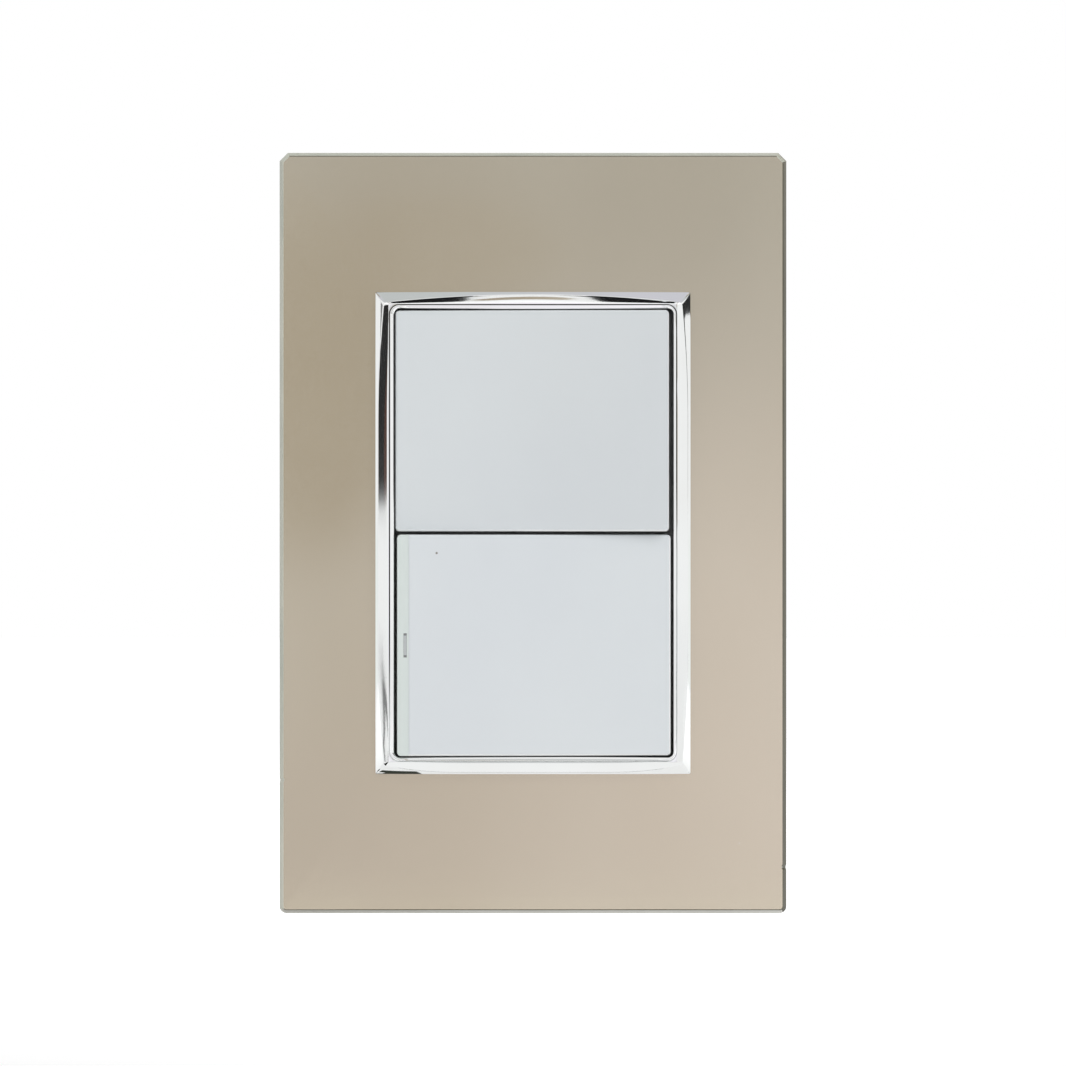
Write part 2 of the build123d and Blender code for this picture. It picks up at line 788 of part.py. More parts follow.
def make_module(name, z, key_rest, with_lamp):
    """All nodes of one switch module, with its moving parts turned to where they rest."""
    blade_rest = -key_rest * blade_tilt / (2 * key_tilt)
    pivot = Axis((0, pivot_y, 0), (0, 0, 1))
    fulcrum = Axis((0, fulcrum_depth, 0), (0, 0, 1))
    swings_with_key = {
        "rocker": make_key(with_lamp),
        "plunger": make_plunger(),
        "plunger_spring": make_spring(),
    }
    swings_with_blade = {
        "contact_blade": make_blade(),
        "moving_contact": make_moving_contact(),
    }
    stays = {
        "module_cover": make_module_cover(with_lamp),
        "housing": make_housing(),
        "common_terminal": make_common_terminal(),
        "load_terminal": make_load_terminal(),
        "fixed_contact": make_fixed_contact(),
        "clamp_plates": make_clamp_plate(-1) + make_clamp_plate(1),
        "terminal_screws": make_terminal_screw(-1) + make_terminal_screw(1),
    }
    if with_lamp:
        swings_with_key["indicator_lens"] = make_indicator_lens()
        stays["pilot_lamp"] = make_pilot_lamp()
    nodes = {}
    for node, solid in swings_with_key.items():
        nodes[name + "_" + node] = Pos(0, 0, z) * solid.rotate(pivot, key_rest)
    for node, solid in swings_with_blade.items():
        nodes[name + "_" + node] = Pos(0, 0, z) * solid.rotate(fulcrum, blade_rest)
    for node, solid in stays.items():
        nodes[name + "_" + node] = Pos(0, 0, z) * solid
    return nodes


def make_all():
    nodes = {
        "glass_panel": make_glass_panel(),
        "chrome_bezel": make_chrome_bezel(),
        "panel_carrier": make_panel_carrier(),
        "mounting_yoke": make_mounting_yoke(),
        "fixing_screws": make_fixing_screw(-screw_z) + make_fixing_screw(screw_z),
    }
    nodes.update(make_module("upper", module_pitch / 2, -key_tilt, False))
    nodes.update(make_module("lower", -module_pitch / 2, key_tilt, True))
    return nodes


os.makedirs("parts", exist_ok=True)
for node_name, node_solid in make_all().items():
    export_step(node_solid, "parts/" + node_name + ".step")
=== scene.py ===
"""Looks of the double light switch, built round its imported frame.

Metres; X to the right, Z up, Y into the wall, as in the frame.
"""

import json
import math

import bmesh
import bpy
from bpy.props import FloatProperty, FloatVectorProperty, PointerProperty
from mathutils import Matrix, Vector


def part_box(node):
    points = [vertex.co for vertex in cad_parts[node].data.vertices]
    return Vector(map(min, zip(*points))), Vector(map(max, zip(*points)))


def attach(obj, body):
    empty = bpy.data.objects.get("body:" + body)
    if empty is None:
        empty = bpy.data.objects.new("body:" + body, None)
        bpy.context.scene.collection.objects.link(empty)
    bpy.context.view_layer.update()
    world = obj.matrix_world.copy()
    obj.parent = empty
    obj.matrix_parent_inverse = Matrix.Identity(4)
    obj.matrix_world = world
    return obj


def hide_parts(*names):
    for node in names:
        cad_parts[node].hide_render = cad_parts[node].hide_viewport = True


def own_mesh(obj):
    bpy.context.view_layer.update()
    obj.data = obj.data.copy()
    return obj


bl_info = {
    "name": "Double light switch",
    "version": (1, 0, 0),
    "blender": (4, 5, 0),
    "location": "3D View > Sidebar > Light switch",
    "description": "Builds the looks of a double light switch round its frame",
    "category": "Object",
}

MM = 0.001
SIDES = ("upper", "lower")
FINE = 0.02 * MM  # height of the finest bumps
EDGE_FADE = 0.18 * MM  # width over which a painted edge fades
GLASS_IOR = 1.52
PLASTIC_IOR = 1.5

# Fixing screws' threads, in pitches and shares
RUN_OUT_NECK = 1.5  # pitches over which the thread rises behind the neck
RUN_OUT_TIP = 2.0  # pitches over which it fades towards the tip
TIP_LENGTH = 2.5  # pitches of the tapered tip
TIP_SHARE = 0.72  # radius of the tip's end, against the shank
CREST_CUT = 1.35  # how much steeper than a full V, with flat crests

# Places on the 1066 by 1066 photograph, in pixels from its top left corner
PHOTO_SIZE = 1066
SPECK_PIXEL = (437, 553)
RIGHT_CHIP_PIXEL = (785, 867)
LEFT_CHIP_PIXEL = (280, 780)

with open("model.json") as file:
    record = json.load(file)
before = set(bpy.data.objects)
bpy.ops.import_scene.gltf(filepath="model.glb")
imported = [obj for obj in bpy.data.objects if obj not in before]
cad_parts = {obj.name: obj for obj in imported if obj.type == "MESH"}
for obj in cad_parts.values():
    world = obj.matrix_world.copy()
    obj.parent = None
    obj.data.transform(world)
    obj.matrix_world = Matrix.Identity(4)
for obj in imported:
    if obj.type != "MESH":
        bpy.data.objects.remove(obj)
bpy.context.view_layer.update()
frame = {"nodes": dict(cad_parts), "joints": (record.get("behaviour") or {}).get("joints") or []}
plate_low, plate_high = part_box("glass_panel")
bezel_low, bezel_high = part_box("chrome_bezel")


def length(name, description, default):
    return FloatProperty(
        name=name, description=description, default=default, min=0.0, unit="LENGTH", precision=5
    )


def amount(name, description, default, top=1.0):
    return FloatProperty(name=name, description=description, default=default, min=0.0, max=top)


def angle(name, description, degrees):
    return FloatProperty(name=name, description=description, default=math.radians(degrees), subtype="ANGLE")


def colour(name, description, default):
    return FloatVectorProperty(
        name=name, description=description, default=default, size=3, min=0.0, max=1.0, subtype="COLOR"
    )


class PlateSettings(bpy.types.PropertyGroup):
    """Sizes and colours of the glass panel."""

    bevel: length("Bevel", "Width of the polished front bevel", 0.55 * MM)
    bevel_rounding: length("Bevel rounding", "Soft turn at each side of the bevel", 0.11 * MM)
    arris: length("Arris", "Small flat on the rear edge", 0.2 * MM)
    top_cut: length("Top corners", "Size of the two cut corners above", 1.3 * MM)
    bottom_radius: length("Bottom corners", "Radius of the two corners below", 1.1 * MM)
    opening_width: length("Opening width", "Opening behind the bezel, across", 47.6 * MM)
    opening_height: length("Opening height", "Opening behind the bezel, upright", 74.3 * MM)
    chip_depth: length("Chip", "Depth of the small chips on the polished edge", 0.16 * MM)
    paint: colour("Paint", "Champagne paint behind the glass", (0.60, 0.545, 0.435))
    paint_shade: colour("Paint, deeper", "Deeper tone that clouds the paint", (0.50, 0.435, 0.325))
    edge: colour("Edge", "Ground and polished glass edge", (0.40, 0.42, 0.36))
    # Painted shade and painted highlight on the front bevel: darker and paler copies of the edge colour
    bevel_painted_shade: colour("Bevel, shaded", "Bevel on the side away from the window", (0.085, 0.078, 0.05))
    bevel_painted_light: colour("Bevel, lit", "Bevel that catches the light of the floor", (0.66, 0.65, 0.60))
    back: colour("Back coat", "Grey protective coat on the rear face", (0.32, 0.31, 0.29))


class BezelSettings(bpy.types.PropertyGroup):
    """Section of the chrome bezel, from its outer edge inwards."""

    facet_outside: angle("Outer facet, foot", "Slope of the outer facet where it meets the wall", 46.0)
    facet_inside: angle("Outer facet, ridge", "Slope of the outer facet at the ridge", 34.0)
    top_inset: length("Ridge, top corners", "Ridge below the outer edge at the top corners", 1.6 * MM)
    side_inset: length("Ridge, side corners", "Ridge inside the outer edge at the corners", 1.25 * MM)
    foot_inset: length("Ridge, bottom corners", "Ridge above the outer edge at the bottom corners", 1.2 * MM)
    middle_inset: length("Ridge at mid-side", "Ridge from the outer edge, at mid-side", 0.42 * MM)
    foot_middle: length("Ridge, bottom middle", "Ridge from the outer edge, in the middle below", 0.26 * MM)
    corner: length("Corners", "Corner radius of the outer edge and of the dish's inner edge", 0.12 * MM)
    ridge_radius: length("Ridge corners", "Corner radius of the ridge", 0.7 * MM)
    dish: length("Dish", "Fall from the ridge to the foot of the lip", 0.35 * MM)
    dish_slope: amount("Dish slope", "Steepest average slope of the dish, where it narrows", 0.31, 2.0)
    hollow: amount("Hollow", "How much steeper the dish is at the ridge than on average", 1.4, 3.0)
    groove: length("Groove", "Width of the groove at the foot of the lip", 0.16 * MM)
    groove_depth: length("Groove depth", "Depth of the groove at the foot of the lip", 0.10 * MM)
    lip: length("Lip width", "Width of the thin lip round the rockers", 0.7 * MM)
    lip_rise: length("Lip height", "How far the lip stands up from the dish", 0.2 * MM)
    lip_lean: length("Lip lean", "How much lower the lip is at the rockers", 0.045 * MM)
    lip_shift: length("Lip shift", "How far the lip's edge stands to the right", 0.13 * MM)
    lip_bow: length("Lip bow", "How far the lip bows in at the top and bottom", 0.12 * MM)
    opening_radius: length("Lip corners", "Inner corner radius of the lip", 0.9 * MM)
    opening_width: length("Opening width", "Opening for the rockers, across", 44.0 * MM)
    opening_height: length("Opening height", "Opening for the rockers, upright", 70.7 * MM)
    collar: length("Collar", "Wall of the collar behind the bezel", 1.6 * MM)
    claw_proud: length("Claws", "How far the four claws stand out", 0.9 * MM)
    claw_length: length("Claw length", "Length of each claw", 7.0 * MM)
    claw_offset: length("Claw place", "Middle of a claw above and below the centre", 10.0 * MM)
    claw_thickness: length("Claw thickness", "Thickness of each claw", 0.4 * MM)
    chrome: colour("Chrome", "Colour of the chrome plating", (0.87, 0.885, 0.88))
    # Painted shade: the dark line in the groove at the foot of the lip
    groove_shade: colour("Groove shade", "Dark line that dirt leaves in the groove", (0.045, 0.04, 0.035))


class RockerSettings(bpy.types.PropertyGroup):
    """Finishes of the rockers and of the indicator slit."""

    white: colour("White", "Moulded white of the rockers", (0.665, 0.70, 0.715))
    white_deep: colour("White, deeper", "Tone of the slow variation in the white", (0.63, 0.665, 0.69))
    # Painted highlight: the paler white along the rockers' right and lower edges
    edge: colour("Edge", "Paler white of the polished edges", (0.90, 0.92, 0.92))
    # Painted light: the lower rocker's white is painted paler than the upper's
    lower_painted_light: amount("Lower rocker, paler", "How much paler the lower rocker is than the upper", 1.045, 2.0)
    # How far the painted highlight reaches in
    edge_width: length("Edge width", "How far the paler edge reaches in at the right and below", 0.25 * MM)
    band: colour("Band", "Toned strip beside the indicator", (0.65, 0.71, 0.685))
    band_width: length("Band width", "Width of the toned strip", 1.95 * MM)
    speck: colour("Speck", "Dark dust speck on the lower rocker", (0.24, 0.22, 0.20))
    speck_radius: length("Speck size", "Radius of the dust speck", 0.22 * MM)
    lens: colour("Lens", "Clear moulding of the indicator", (0.46, 0.485, 0.49))
    # Painted shade at both ends of the indicator slit, and where it lies
    lens_end_shade: colour("Lens ends", "Darker ends of the indicator slit", (0.20, 0.21, 0.21))
    lens_end_offset: length("Lens end place", "Dark end above and below the lens's middle", 1.75 * MM)
    lens_end_inset: length("Lens end inset", "Dark end from the lens's left side", 0.3 * MM)
    lens_end_radius: length("Lens end size", "Radius of a dark end", 0.28 * MM)


class FinishSettings(bpy.types.PropertyGroup):
    """Finishes of the parts behind the panel."""

    carrier: colour("Carrier", "Moulded panel carrier", (0.62, 0.62, 0.60))
    yoke: colour("Yoke", "Moulded mounting yoke", (0.50, 0.51, 0.51))
    casing: colour("Casings", "Module covers and housings", (0.70, 0.70, 0.68))
    nylon: colour("Nylon", "Natural nylon of the plungers", (0.74, 0.72, 0.64))
    zinc: colour("Zinc", "Zinc plated screws and clamp plates", (0.62, 0.63, 0.64))
    steel: colour("Spring steel", "Bright drawn spring wire", (0.50, 0.51, 0.52))
    brass: colour("Brass", "Rolled brass strip", (0.72, 0.53, 0.26))
    silver: colour("Silver", "Silver contact rivets", (0.80, 0.80, 0.78))
    lamp: colour("Lamp glass", "Tube of the pilot lamp", (0.72, 0.60, 0.54))
    lamp_glass: length("Lamp glass length", "Length of the tube between its caps", 4.8 * MM)


class ScrewSettings(bpy.types.PropertyGroup):
    """Sizes of the two fixing screws."""

    spacing: length("Spacing", "Distance between the two screws", 83.5 * MM)
    head_radius: length("Head", "Radius of the pan head", 3.3 * MM)
    head_height: length("Head height", "Height of the pan head", 2.0 * MM)
    head_edge: length("Head edge", "Rounding of the head's edge", 1.0 * MM)
    seat: length("Seat", "How far the head's seat lies in front of the wall", 1.8 * MM)
    neck_radius: length("Neck", "Radius of the plain neck", 1.6 * MM)
    thread_radius: length("Thread", "Outer radius of the thread", 1.75 * MM)
    thread_depth: length("Thread depth", "Depth of the thread", 0.33 * MM)
    pitch: length("Pitch", "Pitch of the thread", 0.6 * MM)
    shank: length("Shank", "Length of the thread behind the wall plane", 22.0 * MM)
    cross: length("Recess", "Width of the driver recess", 3.6 * MM)
    slot: length("Recess arm", "Width of one arm of the driver recess", 0.9 * MM)
    recess_depth: length("Recess depth", "Depth of the driver recess", 0.9 * MM)


class SpringSettings(bpy.types.PropertyGroup):
    """Sizes of the plunger springs."""

    foot: length("Foot", "Spring's fixed end behind the rocker's pivot", 0.136 * MM)
    height: length("Height", "Length of the spring at rest", 4.524 * MM)
    coil: length("Coil", "Mean radius of the coil", 1.4 * MM)
    wire: length("Wire", "Radius of the wire", 0.2 * MM)
    turns: amount("Turns", "Turns of the coil, closed ends and all", 5.0, 20.0)
    closed: amount("Closed turns", "Turns that lie closed at each end", 0.9, 2.0)


class StageSettings(bpy.types.PropertyGroup):
    """Camera, floor and lights."""

    camera_distance: length("Camera distance", "Camera in front of the panel's face", 0.8)
    view_width: length("View width", "Width of the picture at the panel's face", 168.1 * MM)
    sensor: FloatProperty(name="Sensor", description="Camera sensor width in millimetres", default=36.0)
    floor_drop: length("Floor", "Floor below the plate's lower edge", 40.0 * MM)
    surround: amount("Surround", "Level of the white surround on matt surfaces", 0.62, 2.0)
    floor: colour("Floor colour", "Pale matt floor", (0.80, 0.80, 0.80))
    floor_glow: amount("Floor glow", "How much brighter the camera sees the floor near the object", 0.34)
    floor_far: amount("Floor glow, far", "The same far from the object", 0.62)
    floor_mirrored: amount("Floor glow, mirrored", "Share of the floor's glow that mirrors see", 0.72)
    key_watts: FloatProperty(name="Key light", description="Power of the soft key light", default=7.9)
    fill_watts: FloatProperty(name="Fill light", description="Power of the soft fill light", default=2.8)


def settings(name):
    return getattr(bpy.context.scene, "switch_" + name)


def photo_point(across, down):
    """The (x, z) place on the panel's plane of a pixel of the photograph."""
    scale = settings("stage").view_width / PHOTO_SIZE
    return ((across - PHOTO_SIZE / 2) * scale, (PHOTO_SIZE / 2 - down) * scale)


# Meshes


def ring(bm, outline, y):
    """A closed ring of vertices from (x, z) points, at one depth or at a depth for each."""
    depths = y if isinstance(y, list) else [y] * len(outline)
    return [bm.verts.new((x, depth, z)) for (x, z), depth in zip(outline, depths)]


def bridge(bm, ring_a, ring_b, material=0):
    """The band of faces between two rings of equal count."""
    count = len(ring_a)
    for i in range(count):
        j = (i + 1) % count
        face = bm.faces.new((ring_a[i], ring_a[j], ring_b[j], ring_b[i]))
        face.material_index = material


def skin_over(bm, rings):
    """The closed skin over a row of rings, flat at both ends."""
    for here, there in zip(rings, rings[1:]):
        bridge(bm, here, there)
    bm.faces.new(rings[0])
    bm.faces.new(rings[-1])


def flat_with_hole(bm, outer, inner, material):
    """A flat face between an outer ring and the ring of a hole in it."""
    edges = []
    for loop in (outer, inner):
        for i in range(len(loop)):
            pair = (loop[i], loop[(i + 1) % len(loop)])
            edges.append(bm.edges.get(pair) or bm.edges.new(pair))
    made = bmesh.ops.triangle_fill(bm, edges=edges, use_beauty=True)
    for item in made["geom"]:
        if isinstance(item, bmesh.types.BMFace):
            item.material_index = material


def inset(outline, distance):
    """A convex counter-clockwise outline moved inwards by a distance."""
    moved = []
    count = len(outline)
    for i in range(count):
        here = Vector(outline[i])
        before = (here - Vector(outline[i - 1])).normalized()
        after = (Vector(outline[(i + 1) % count]) - here).normalized()
        normal = Vector((-before.y, before.x)) + Vector((-after.y, after.x))
        normal.normalize()
        spread = max(0.3, normal.dot(Vector((-after.y, after.x))))
        moved.append(tuple(here + normal * distance / spread))
    return moved


def arc(centre, radius, start, end, steps):
    """Points of an arc in degrees, counter-clockwise."""
    points = []
    for step in range(steps + 1):
        turn = math.radians(start + (end - start) * step / steps)
        points.append((centre[0] + radius * math.cos(turn), centre[1] + radius * math.sin(turn)))
    return points


def bowed_ring(low, high, radius, bows=(0, 0, 0, 0), straights=(0, 0, 0, 0), side_steps=28, corner_steps=5):
    """A rounded rectangle between two corners, counter-clockwise from its top right corner.

    Its top, left, bottom and right sides may bow outwards and be straight over a share of their length.
    """
    left, right = low[0] + radius, high[0] - radius
    foot, top = low[1] + radius, high[1] - radius
    corners = ((right, top), (left, top), (left, foot), (right, foot))
    points = []
    for index, corner in enumerate(corners):
        points += arc(corner, radius, 90 * index, 90 * index + 90, corner_steps)
        turn = math.radians(90 * index + 90)
        out = Vector((math.cos(turn), math.sin(turn)))
        side_from = Vector(corner) + out * radius
        side_to = Vector(corners[(index + 1) % 4]) + out * radius
        for step in range(1, side_steps):
            share = step / side_steps
            past = max(0.0, (abs(2 * share - 1) - straights[index]) / (1 - straights[index]))
            points.append(tuple(side_from.lerp(side_to, share) + out * bows[index] * (1 - past**2)))
    return points


def rounded_ring(width, height, radius, **steps):
    return bowed_ring((-width / 2, -height / 2), (width / 2, height / 2), radius, **steps)


def add_object(name, bm, materials):
    """A new object in the scene from a mesh."""
    mesh = bpy.data.meshes.new(name)
    bm.to_mesh(mesh)
    bm.free()
    for material in materials:
        mesh.materials.append(material)
    obj = bpy.data.objects.new(name, mesh)
    bpy.context.scene.collection.objects.link(obj)
    return obj


def finish_mesh(name, bm, materials, body, crease=32.0):
    """A smooth-shaded object that rides on a body, sharp where faces meet at more than the crease."""
    bmesh.ops.remove_doubles(bm, verts=bm.verts, dist=1e-7)
    bmesh.ops.recalc_face_normals(bm, faces=bm.faces)
    obj = add_object(name, bm, materials)
    obj.data.polygons.foreach_set("use_smooth", [True] * len(obj.data.polygons))
    obj.data.set_sharp_from_angle(angle=math.radians(crease))
    normals = obj.modifiers.new("Face weighted normals", "WEIGHTED_NORMAL")
    normals.keep_sharp = True
    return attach(obj, body)


def dress(node, material):
    """Gives a node of the frame its material."""
    obj = frame["nodes"][node]
    if not obj.data.materials:
        obj.data.materials.append(material)
    for place in obj.material_slots:
        place.material = material


def dress_both(piece, material):
    for side in SIDES:
        dress(side + "_" + piece, material)


# Shader effects


def new_group(name, inputs, outputs):
    """An empty effect with named inputs (name, kind, default) and outputs (name, kind)."""
    tree = bpy.data.node_groups.new(name, "ShaderNodeTree")
    for label, kind, default in inputs:
        socket = tree.interface.new_socket(label, in_out="INPUT", socket_type="NodeSocket" + kind)
        socket.default_value = default
    for label, kind in outputs:
        tree.interface.new_socket(label, in_out="OUTPUT", socket_type="NodeSocket" + kind)
    source = tree.nodes.new("NodeGroupInput")
    target = tree.nodes.new("NodeGroupOutput")
    return tree, source.outputs, target.inputs


def put(tree, socket, value):
    """Links another node's output to a socket, or sets the socket to a number or colour."""
    if isinstance(value, bpy.types.NodeSocket):
        tree.links.new(value, socket)
    else:
        socket.default_value = value


def node(tree, kind, values=None, **options):
    """A node with its options set and its inputs filled."""
    made = tree.nodes.new("ShaderNode" + kind)
    for option, value in options.items():
        setattr(made, option, value)
    for socket, value in (values or {}).items():
        put(tree, made.inputs[socket], value)
    return made


def place_on(tree):
    """The place on the object, in metres of the frame."""
    return node(tree, "TexCoord").outputs["Object"]


def how_far(tree, direction):
    """How far the place on the object lies along a direction."""
    values = {0: place_on(tree), 1: direction}
    return node(tree, "VectorMath", values, operation="DOT_PRODUCT").outputs["Value"]


def multiply(tree, a, b):
    return node(tree, "Math", {0: a, 1: b}, operation="MULTIPLY").outputs[0]


def moulded_skin():
    """Fine skin of an injection moulding: grain in the gloss and a faint bump."""
    tree, given, made = new_group(
        "Moulded skin",
        [
            ("Grain", "Float", 900.0),
            ("Depth", "Float", 0.2),
            ("Gloss", "Float", 0.3),
            ("Spread", "Float", 0.1),
        ],
        [("Roughness", "Float"), ("Height", "Float")],
    )
    place = place_on(tree)
    fine = node(tree, "TexNoise", {"Vector": place, "Scale": given["Grain"], "Detail": 4.0})
    slow = node(tree, "TexNoise", {"Vector": place, "Scale": 45.0, "Detail": 3.0})
    both = node(tree, "Math", {0: fine.outputs[0], 1: slow.outputs[0]}, operation="ADD").outputs[0]
    centred = node(tree, "Math", {0: both, 1: 1.0}, operation="SUBTRACT").outputs[0]
    gloss = node(tree, "Math", {0: centred, 1: given["Spread"], 2: given["Gloss"]}, operation="MULTIPLY_ADD")
    tree.links.new(gloss.outputs[0], made["Roughness"])
    tree.links.new(multiply(tree, fine.outputs[0], given["Depth"]), made["Height"])
    return tree


def slow_cloud():
    """Slow change between two tones over the surface."""
    tree, given, made = new_group(
        "Slow cloud",
        [
            ("Tone", "Color", (1, 1, 1, 1)),
            ("Other tone", "Color", (0.5, 0.5, 0.5, 1)),
            ("Scale", "Float", 20.0),
            ("Stretch", "Vector", (1.0, 1.0, 1.0)),
        ],
        [("Color", "Color"), ("Mask", "Float")],
    )
    place = place_on(tree)
    stretched = node(tree, "VectorMath", {0: place, 1: given["Stretch"]}, operation="MULTIPLY").outputs[0]
    noise = node(tree, "TexNoise", {"Vector": stretched, "Scale": given["Scale"], "Detail": 3.0})
    mask = node(tree, "MapRange", {"Value": noise.outputs[0], "From Min": 0.35, "From Max": 0.68})
    mix = node(tree, "Mix", {0: mask.outputs[0], 6: given["Tone"], 7: given["Other tone"]}, data_type="RGBA")
    tree.links.new(mix.outputs[2], made["Color"])
    tree.links.new(mask.outputs[0], made["Mask"])
    return tree


def drawn_lines():
    """Fine lines left by rolling or drawing the metal, along one direction."""
    tree, given, made = new_group(
        "Drawn lines",
        [
            ("Stretch", "Vector", (40.0, 900.0, 900.0)),
            ("Gloss", "Float", 0.3),
            ("Spread", "Float", 0.2),
        ],
        [("Roughness", "Float"), ("Height", "Float")],
    )
    place = place_on(tree)
    stretched = node(tree, "VectorMath", {0: place, 1: given["Stretch"]}, operation="MULTIPLY").outputs[0]
    noise = node(tree, "TexNoise", {"Vector": stretched, "Scale": 3.0, "Detail": 5.0})
    centred = node(tree, "Math", {0: noise.outputs[0], 1: 0.5}, operation="SUBTRACT").outputs[0]
    gloss = node(tree, "Math", {0: centred, 1: given["Spread"], 2: given["Gloss"]}, operation="MULTIPLY_ADD")
    tree.links.new(gloss.outputs[0], made["Roughness"])
    tree.links.new(noise.outputs[0], made["Height"])
    return tree


def soft_spot():
    """A round spot at a place on the object."""
    tree, given, made = new_group(
        "Soft spot",
        [
            ("Centre", "Vector", (0.0, 0.0, 0.0)),
            ("Radius", "Float", MM),
            ("Squash", "Vector", (1.0, 0.0, 1.0)),
        ],
        [("Mask", "Float")],
    )
    place = place_on(tree)
    offset = node(tree, "VectorMath", {0: place, 1: given["Centre"]}, operation="SUBTRACT").outputs[0]
    flat = node(tree, "VectorMath", {0: offset, 1: given["Squash"]}, operation="MULTIPLY").outputs[0]
    away = node(tree, "VectorMath", {0: flat}, operation="LENGTH").outputs["Value"]
    share = node(tree, "Math", {0: away, 1: given["Radius"]}, operation="DIVIDE").outputs[0]
    mask = node(
        tree,
        "MapRange",
        {"Value": share, "From Min": 0.6, "From Max": 1.0, "To Min": 1.0, "To Max": 0.0},
        interpolation_type="SMOOTHSTEP",
    )
    tree.links.new(mask.outputs[0], made["Mask"])
    return tree


def fine_dust():
    """Sparse light dust specks."""
    tree, given, made = new_group(
        "Fine dust", [("Density", "Float", 700.0), ("Size", "Float", 0.06)], [("Mask", "Float")]
    )
    place = place_on(tree)
    cells = node(tree, "TexVoronoi", {"Vector": place, "Scale": given["Density"], "Randomness": 1.0})
    patch = node(tree, "TexNoise", {"Vector": place, "Scale": 60.0, "Detail": 2.0}).outputs[0]
    reach = multiply(tree, patch, given["Size"])
    mask = node(tree, "Math", {0: cells.outputs["Distance"], 1: reach}, operation="LESS_THAN")
    tree.links.new(mask.outputs[0], made["Mask"])
    return tree


EFFECTS = {
    "Moulded skin": moulded_skin,
    "Slow cloud": slow_cloud,
    "Drawn lines": drawn_lines,
    "Soft spot": soft_spot,
    "Fine dust": fine_dust,
}


def effect(tree, name, values=None):
    """Places an effect in a material, building it the first time."""
    made = tree.nodes.new("ShaderNodeGroup")
    made.node_tree = bpy.data.node_groups.get(name) or EFFECTS[name]()
    for socket, value in (values or {}).items():
        put(tree, made.inputs[socket], value)
    return made.outputs


def rgba(tone):
    return (tone[0], tone[1], tone[2], 1.0)


def mixed(tree, mask, under, over):
    """One colour over another where the mask is 1."""
    return node(tree, "Mix", {0: mask, 6: under, 7: over}, data_type="RGBA").outputs[2]


def clouded(tree, tone, other_tone, scale, stretch=(1.0, 1.0, 1.0)):
    """A colour that changes slowly between two tones."""
    values = {"Tone": rgba(tone), "Other tone": rgba(other_tone), "Scale": scale, "Stretch": stretch}
    return effect(tree, "Slow cloud", values)["Color"]


def dusty(tree, tone, dust_tone, density, size):
    """A colour with fine dust on it."""
    dust = effect(tree, "Fine dust", {"Density": density, "Size": size})
    return mixed(tree, dust["Mask"], tone, rgba(dust_tone))


def surface(tree, effect_name, values, strength, distance):
    """Roughness and Normal of an effect, for connect."""
    made = effect(tree, effect_name, values)
    values = {"Strength": strength, "Distance": distance, "Height": made["Height"]}
    return {"Roughness": made["Roughness"], "Normal": node(tree, "Bump", values).outputs[0]}


def moulded(tree, grain, gloss, spread, strength, distance=FINE):
    """Roughness and Normal of a moulded skin."""
    values = {"Grain": grain, "Depth": 1.0, "Gloss": gloss, "Spread": spread}
    return surface(tree, "Moulded skin", values, strength, distance)


def drawn(tree, stretch, gloss, spread, strength, distance=FINE):
    """Roughness and Normal of drawn or rolled metal, or of ground glass."""
    values = {"Stretch": stretch, "Gloss": gloss, "Spread": spread}
    return surface(tree, "Drawn lines", values, strength, distance)


def empty_material(name):
    """A new material with only its output: the material, its node tree and the output's surface."""
    made = bpy.data.materials.new(name)
    made.use_nodes = True
    tree = made.node_tree
    tree.nodes.clear()
    return made, tree, node(tree, "OutputMaterial").inputs["Surface"]


def material(name):
    """A new material with only its Principled shader and output."""
    made, tree, out = empty_material(name)
    shader = node(tree, "BsdfPrincipled")
    tree.links.new(shader.outputs[0], out)
    return made, tree, shader


def connect(tree, shader, **sources):
    """Puts values or links on the shader, by socket name with underscores."""
    for label, value in sources.items():
        put(tree, shader.inputs[label.replace("_", " ")], value)


# Materials


def painted_glass_material():
    """Champagne metallic paint under a polished coat of glass."""
    plate = settings("plate")
    made, tree, shader = material("Back painted glass")
    paint = clouded(tree, plate.paint, plate.paint_shade, scale=9.0, stretch=(1.0, 1.0, 0.6))
    connect(
        tree, shader, Base_Color=dusty(tree, paint, (0.8, 0.8, 0.76), density=260.0, size=0.03),
        Metallic=0.85, Coat_Weight=1.0, Coat_Roughness=0.02, Coat_IOR=GLASS_IOR,
        **moulded(tree, grain=2600.0, gloss=0.11, spread=0.06, strength=0.012),
    )
    return made


def glass_edge_material(name, tone, other_tone):
    """Ground and polished glass edge with fine grinding lines."""
    made, tree, shader = material(name)
    connect(
        tree, shader, Base_Color=clouded(tree, tone, other_tone, scale=60.0, stretch=(1.0, 9.0, 1.0)),
        IOR=GLASS_IOR, Coat_Weight=0.8, Coat_Roughness=0.03,
        **drawn(tree, stretch=(60.0, 1400.0, 60.0), gloss=0.1, spread=0.12, strength=0.05),
    )
    return made


def back_coat_material():
    """Dull grey coat that protects the paint."""
    plate = settings("plate")
    made, tree, shader = material("Grey back coat")
    connect(
        tree, shader, Base_Color=clouded(tree, plate.back, (0.38, 0.37, 0.35), scale=30.0),
        **moulded(tree, grain=700.0, gloss=0.6, spread=0.2, strength=0.2, distance=0.05 * MM),
    )
    return made


def chrome_material():
    """Bright chrome over a moulding: a mirror with faint waviness and wiping marks."""
    bezel = settings("bezel")
    made, tree, shader = material("Chrome plating")
    connect(
        tree, shader, Base_Color=clouded(tree, bezel.chrome, (0.84, 0.85, 0.84), scale=70.0), Metallic=1.0,
        **moulded(tree, grain=260.0, gloss=0.045, spread=0.03, strength=0.02),
    )
    return made


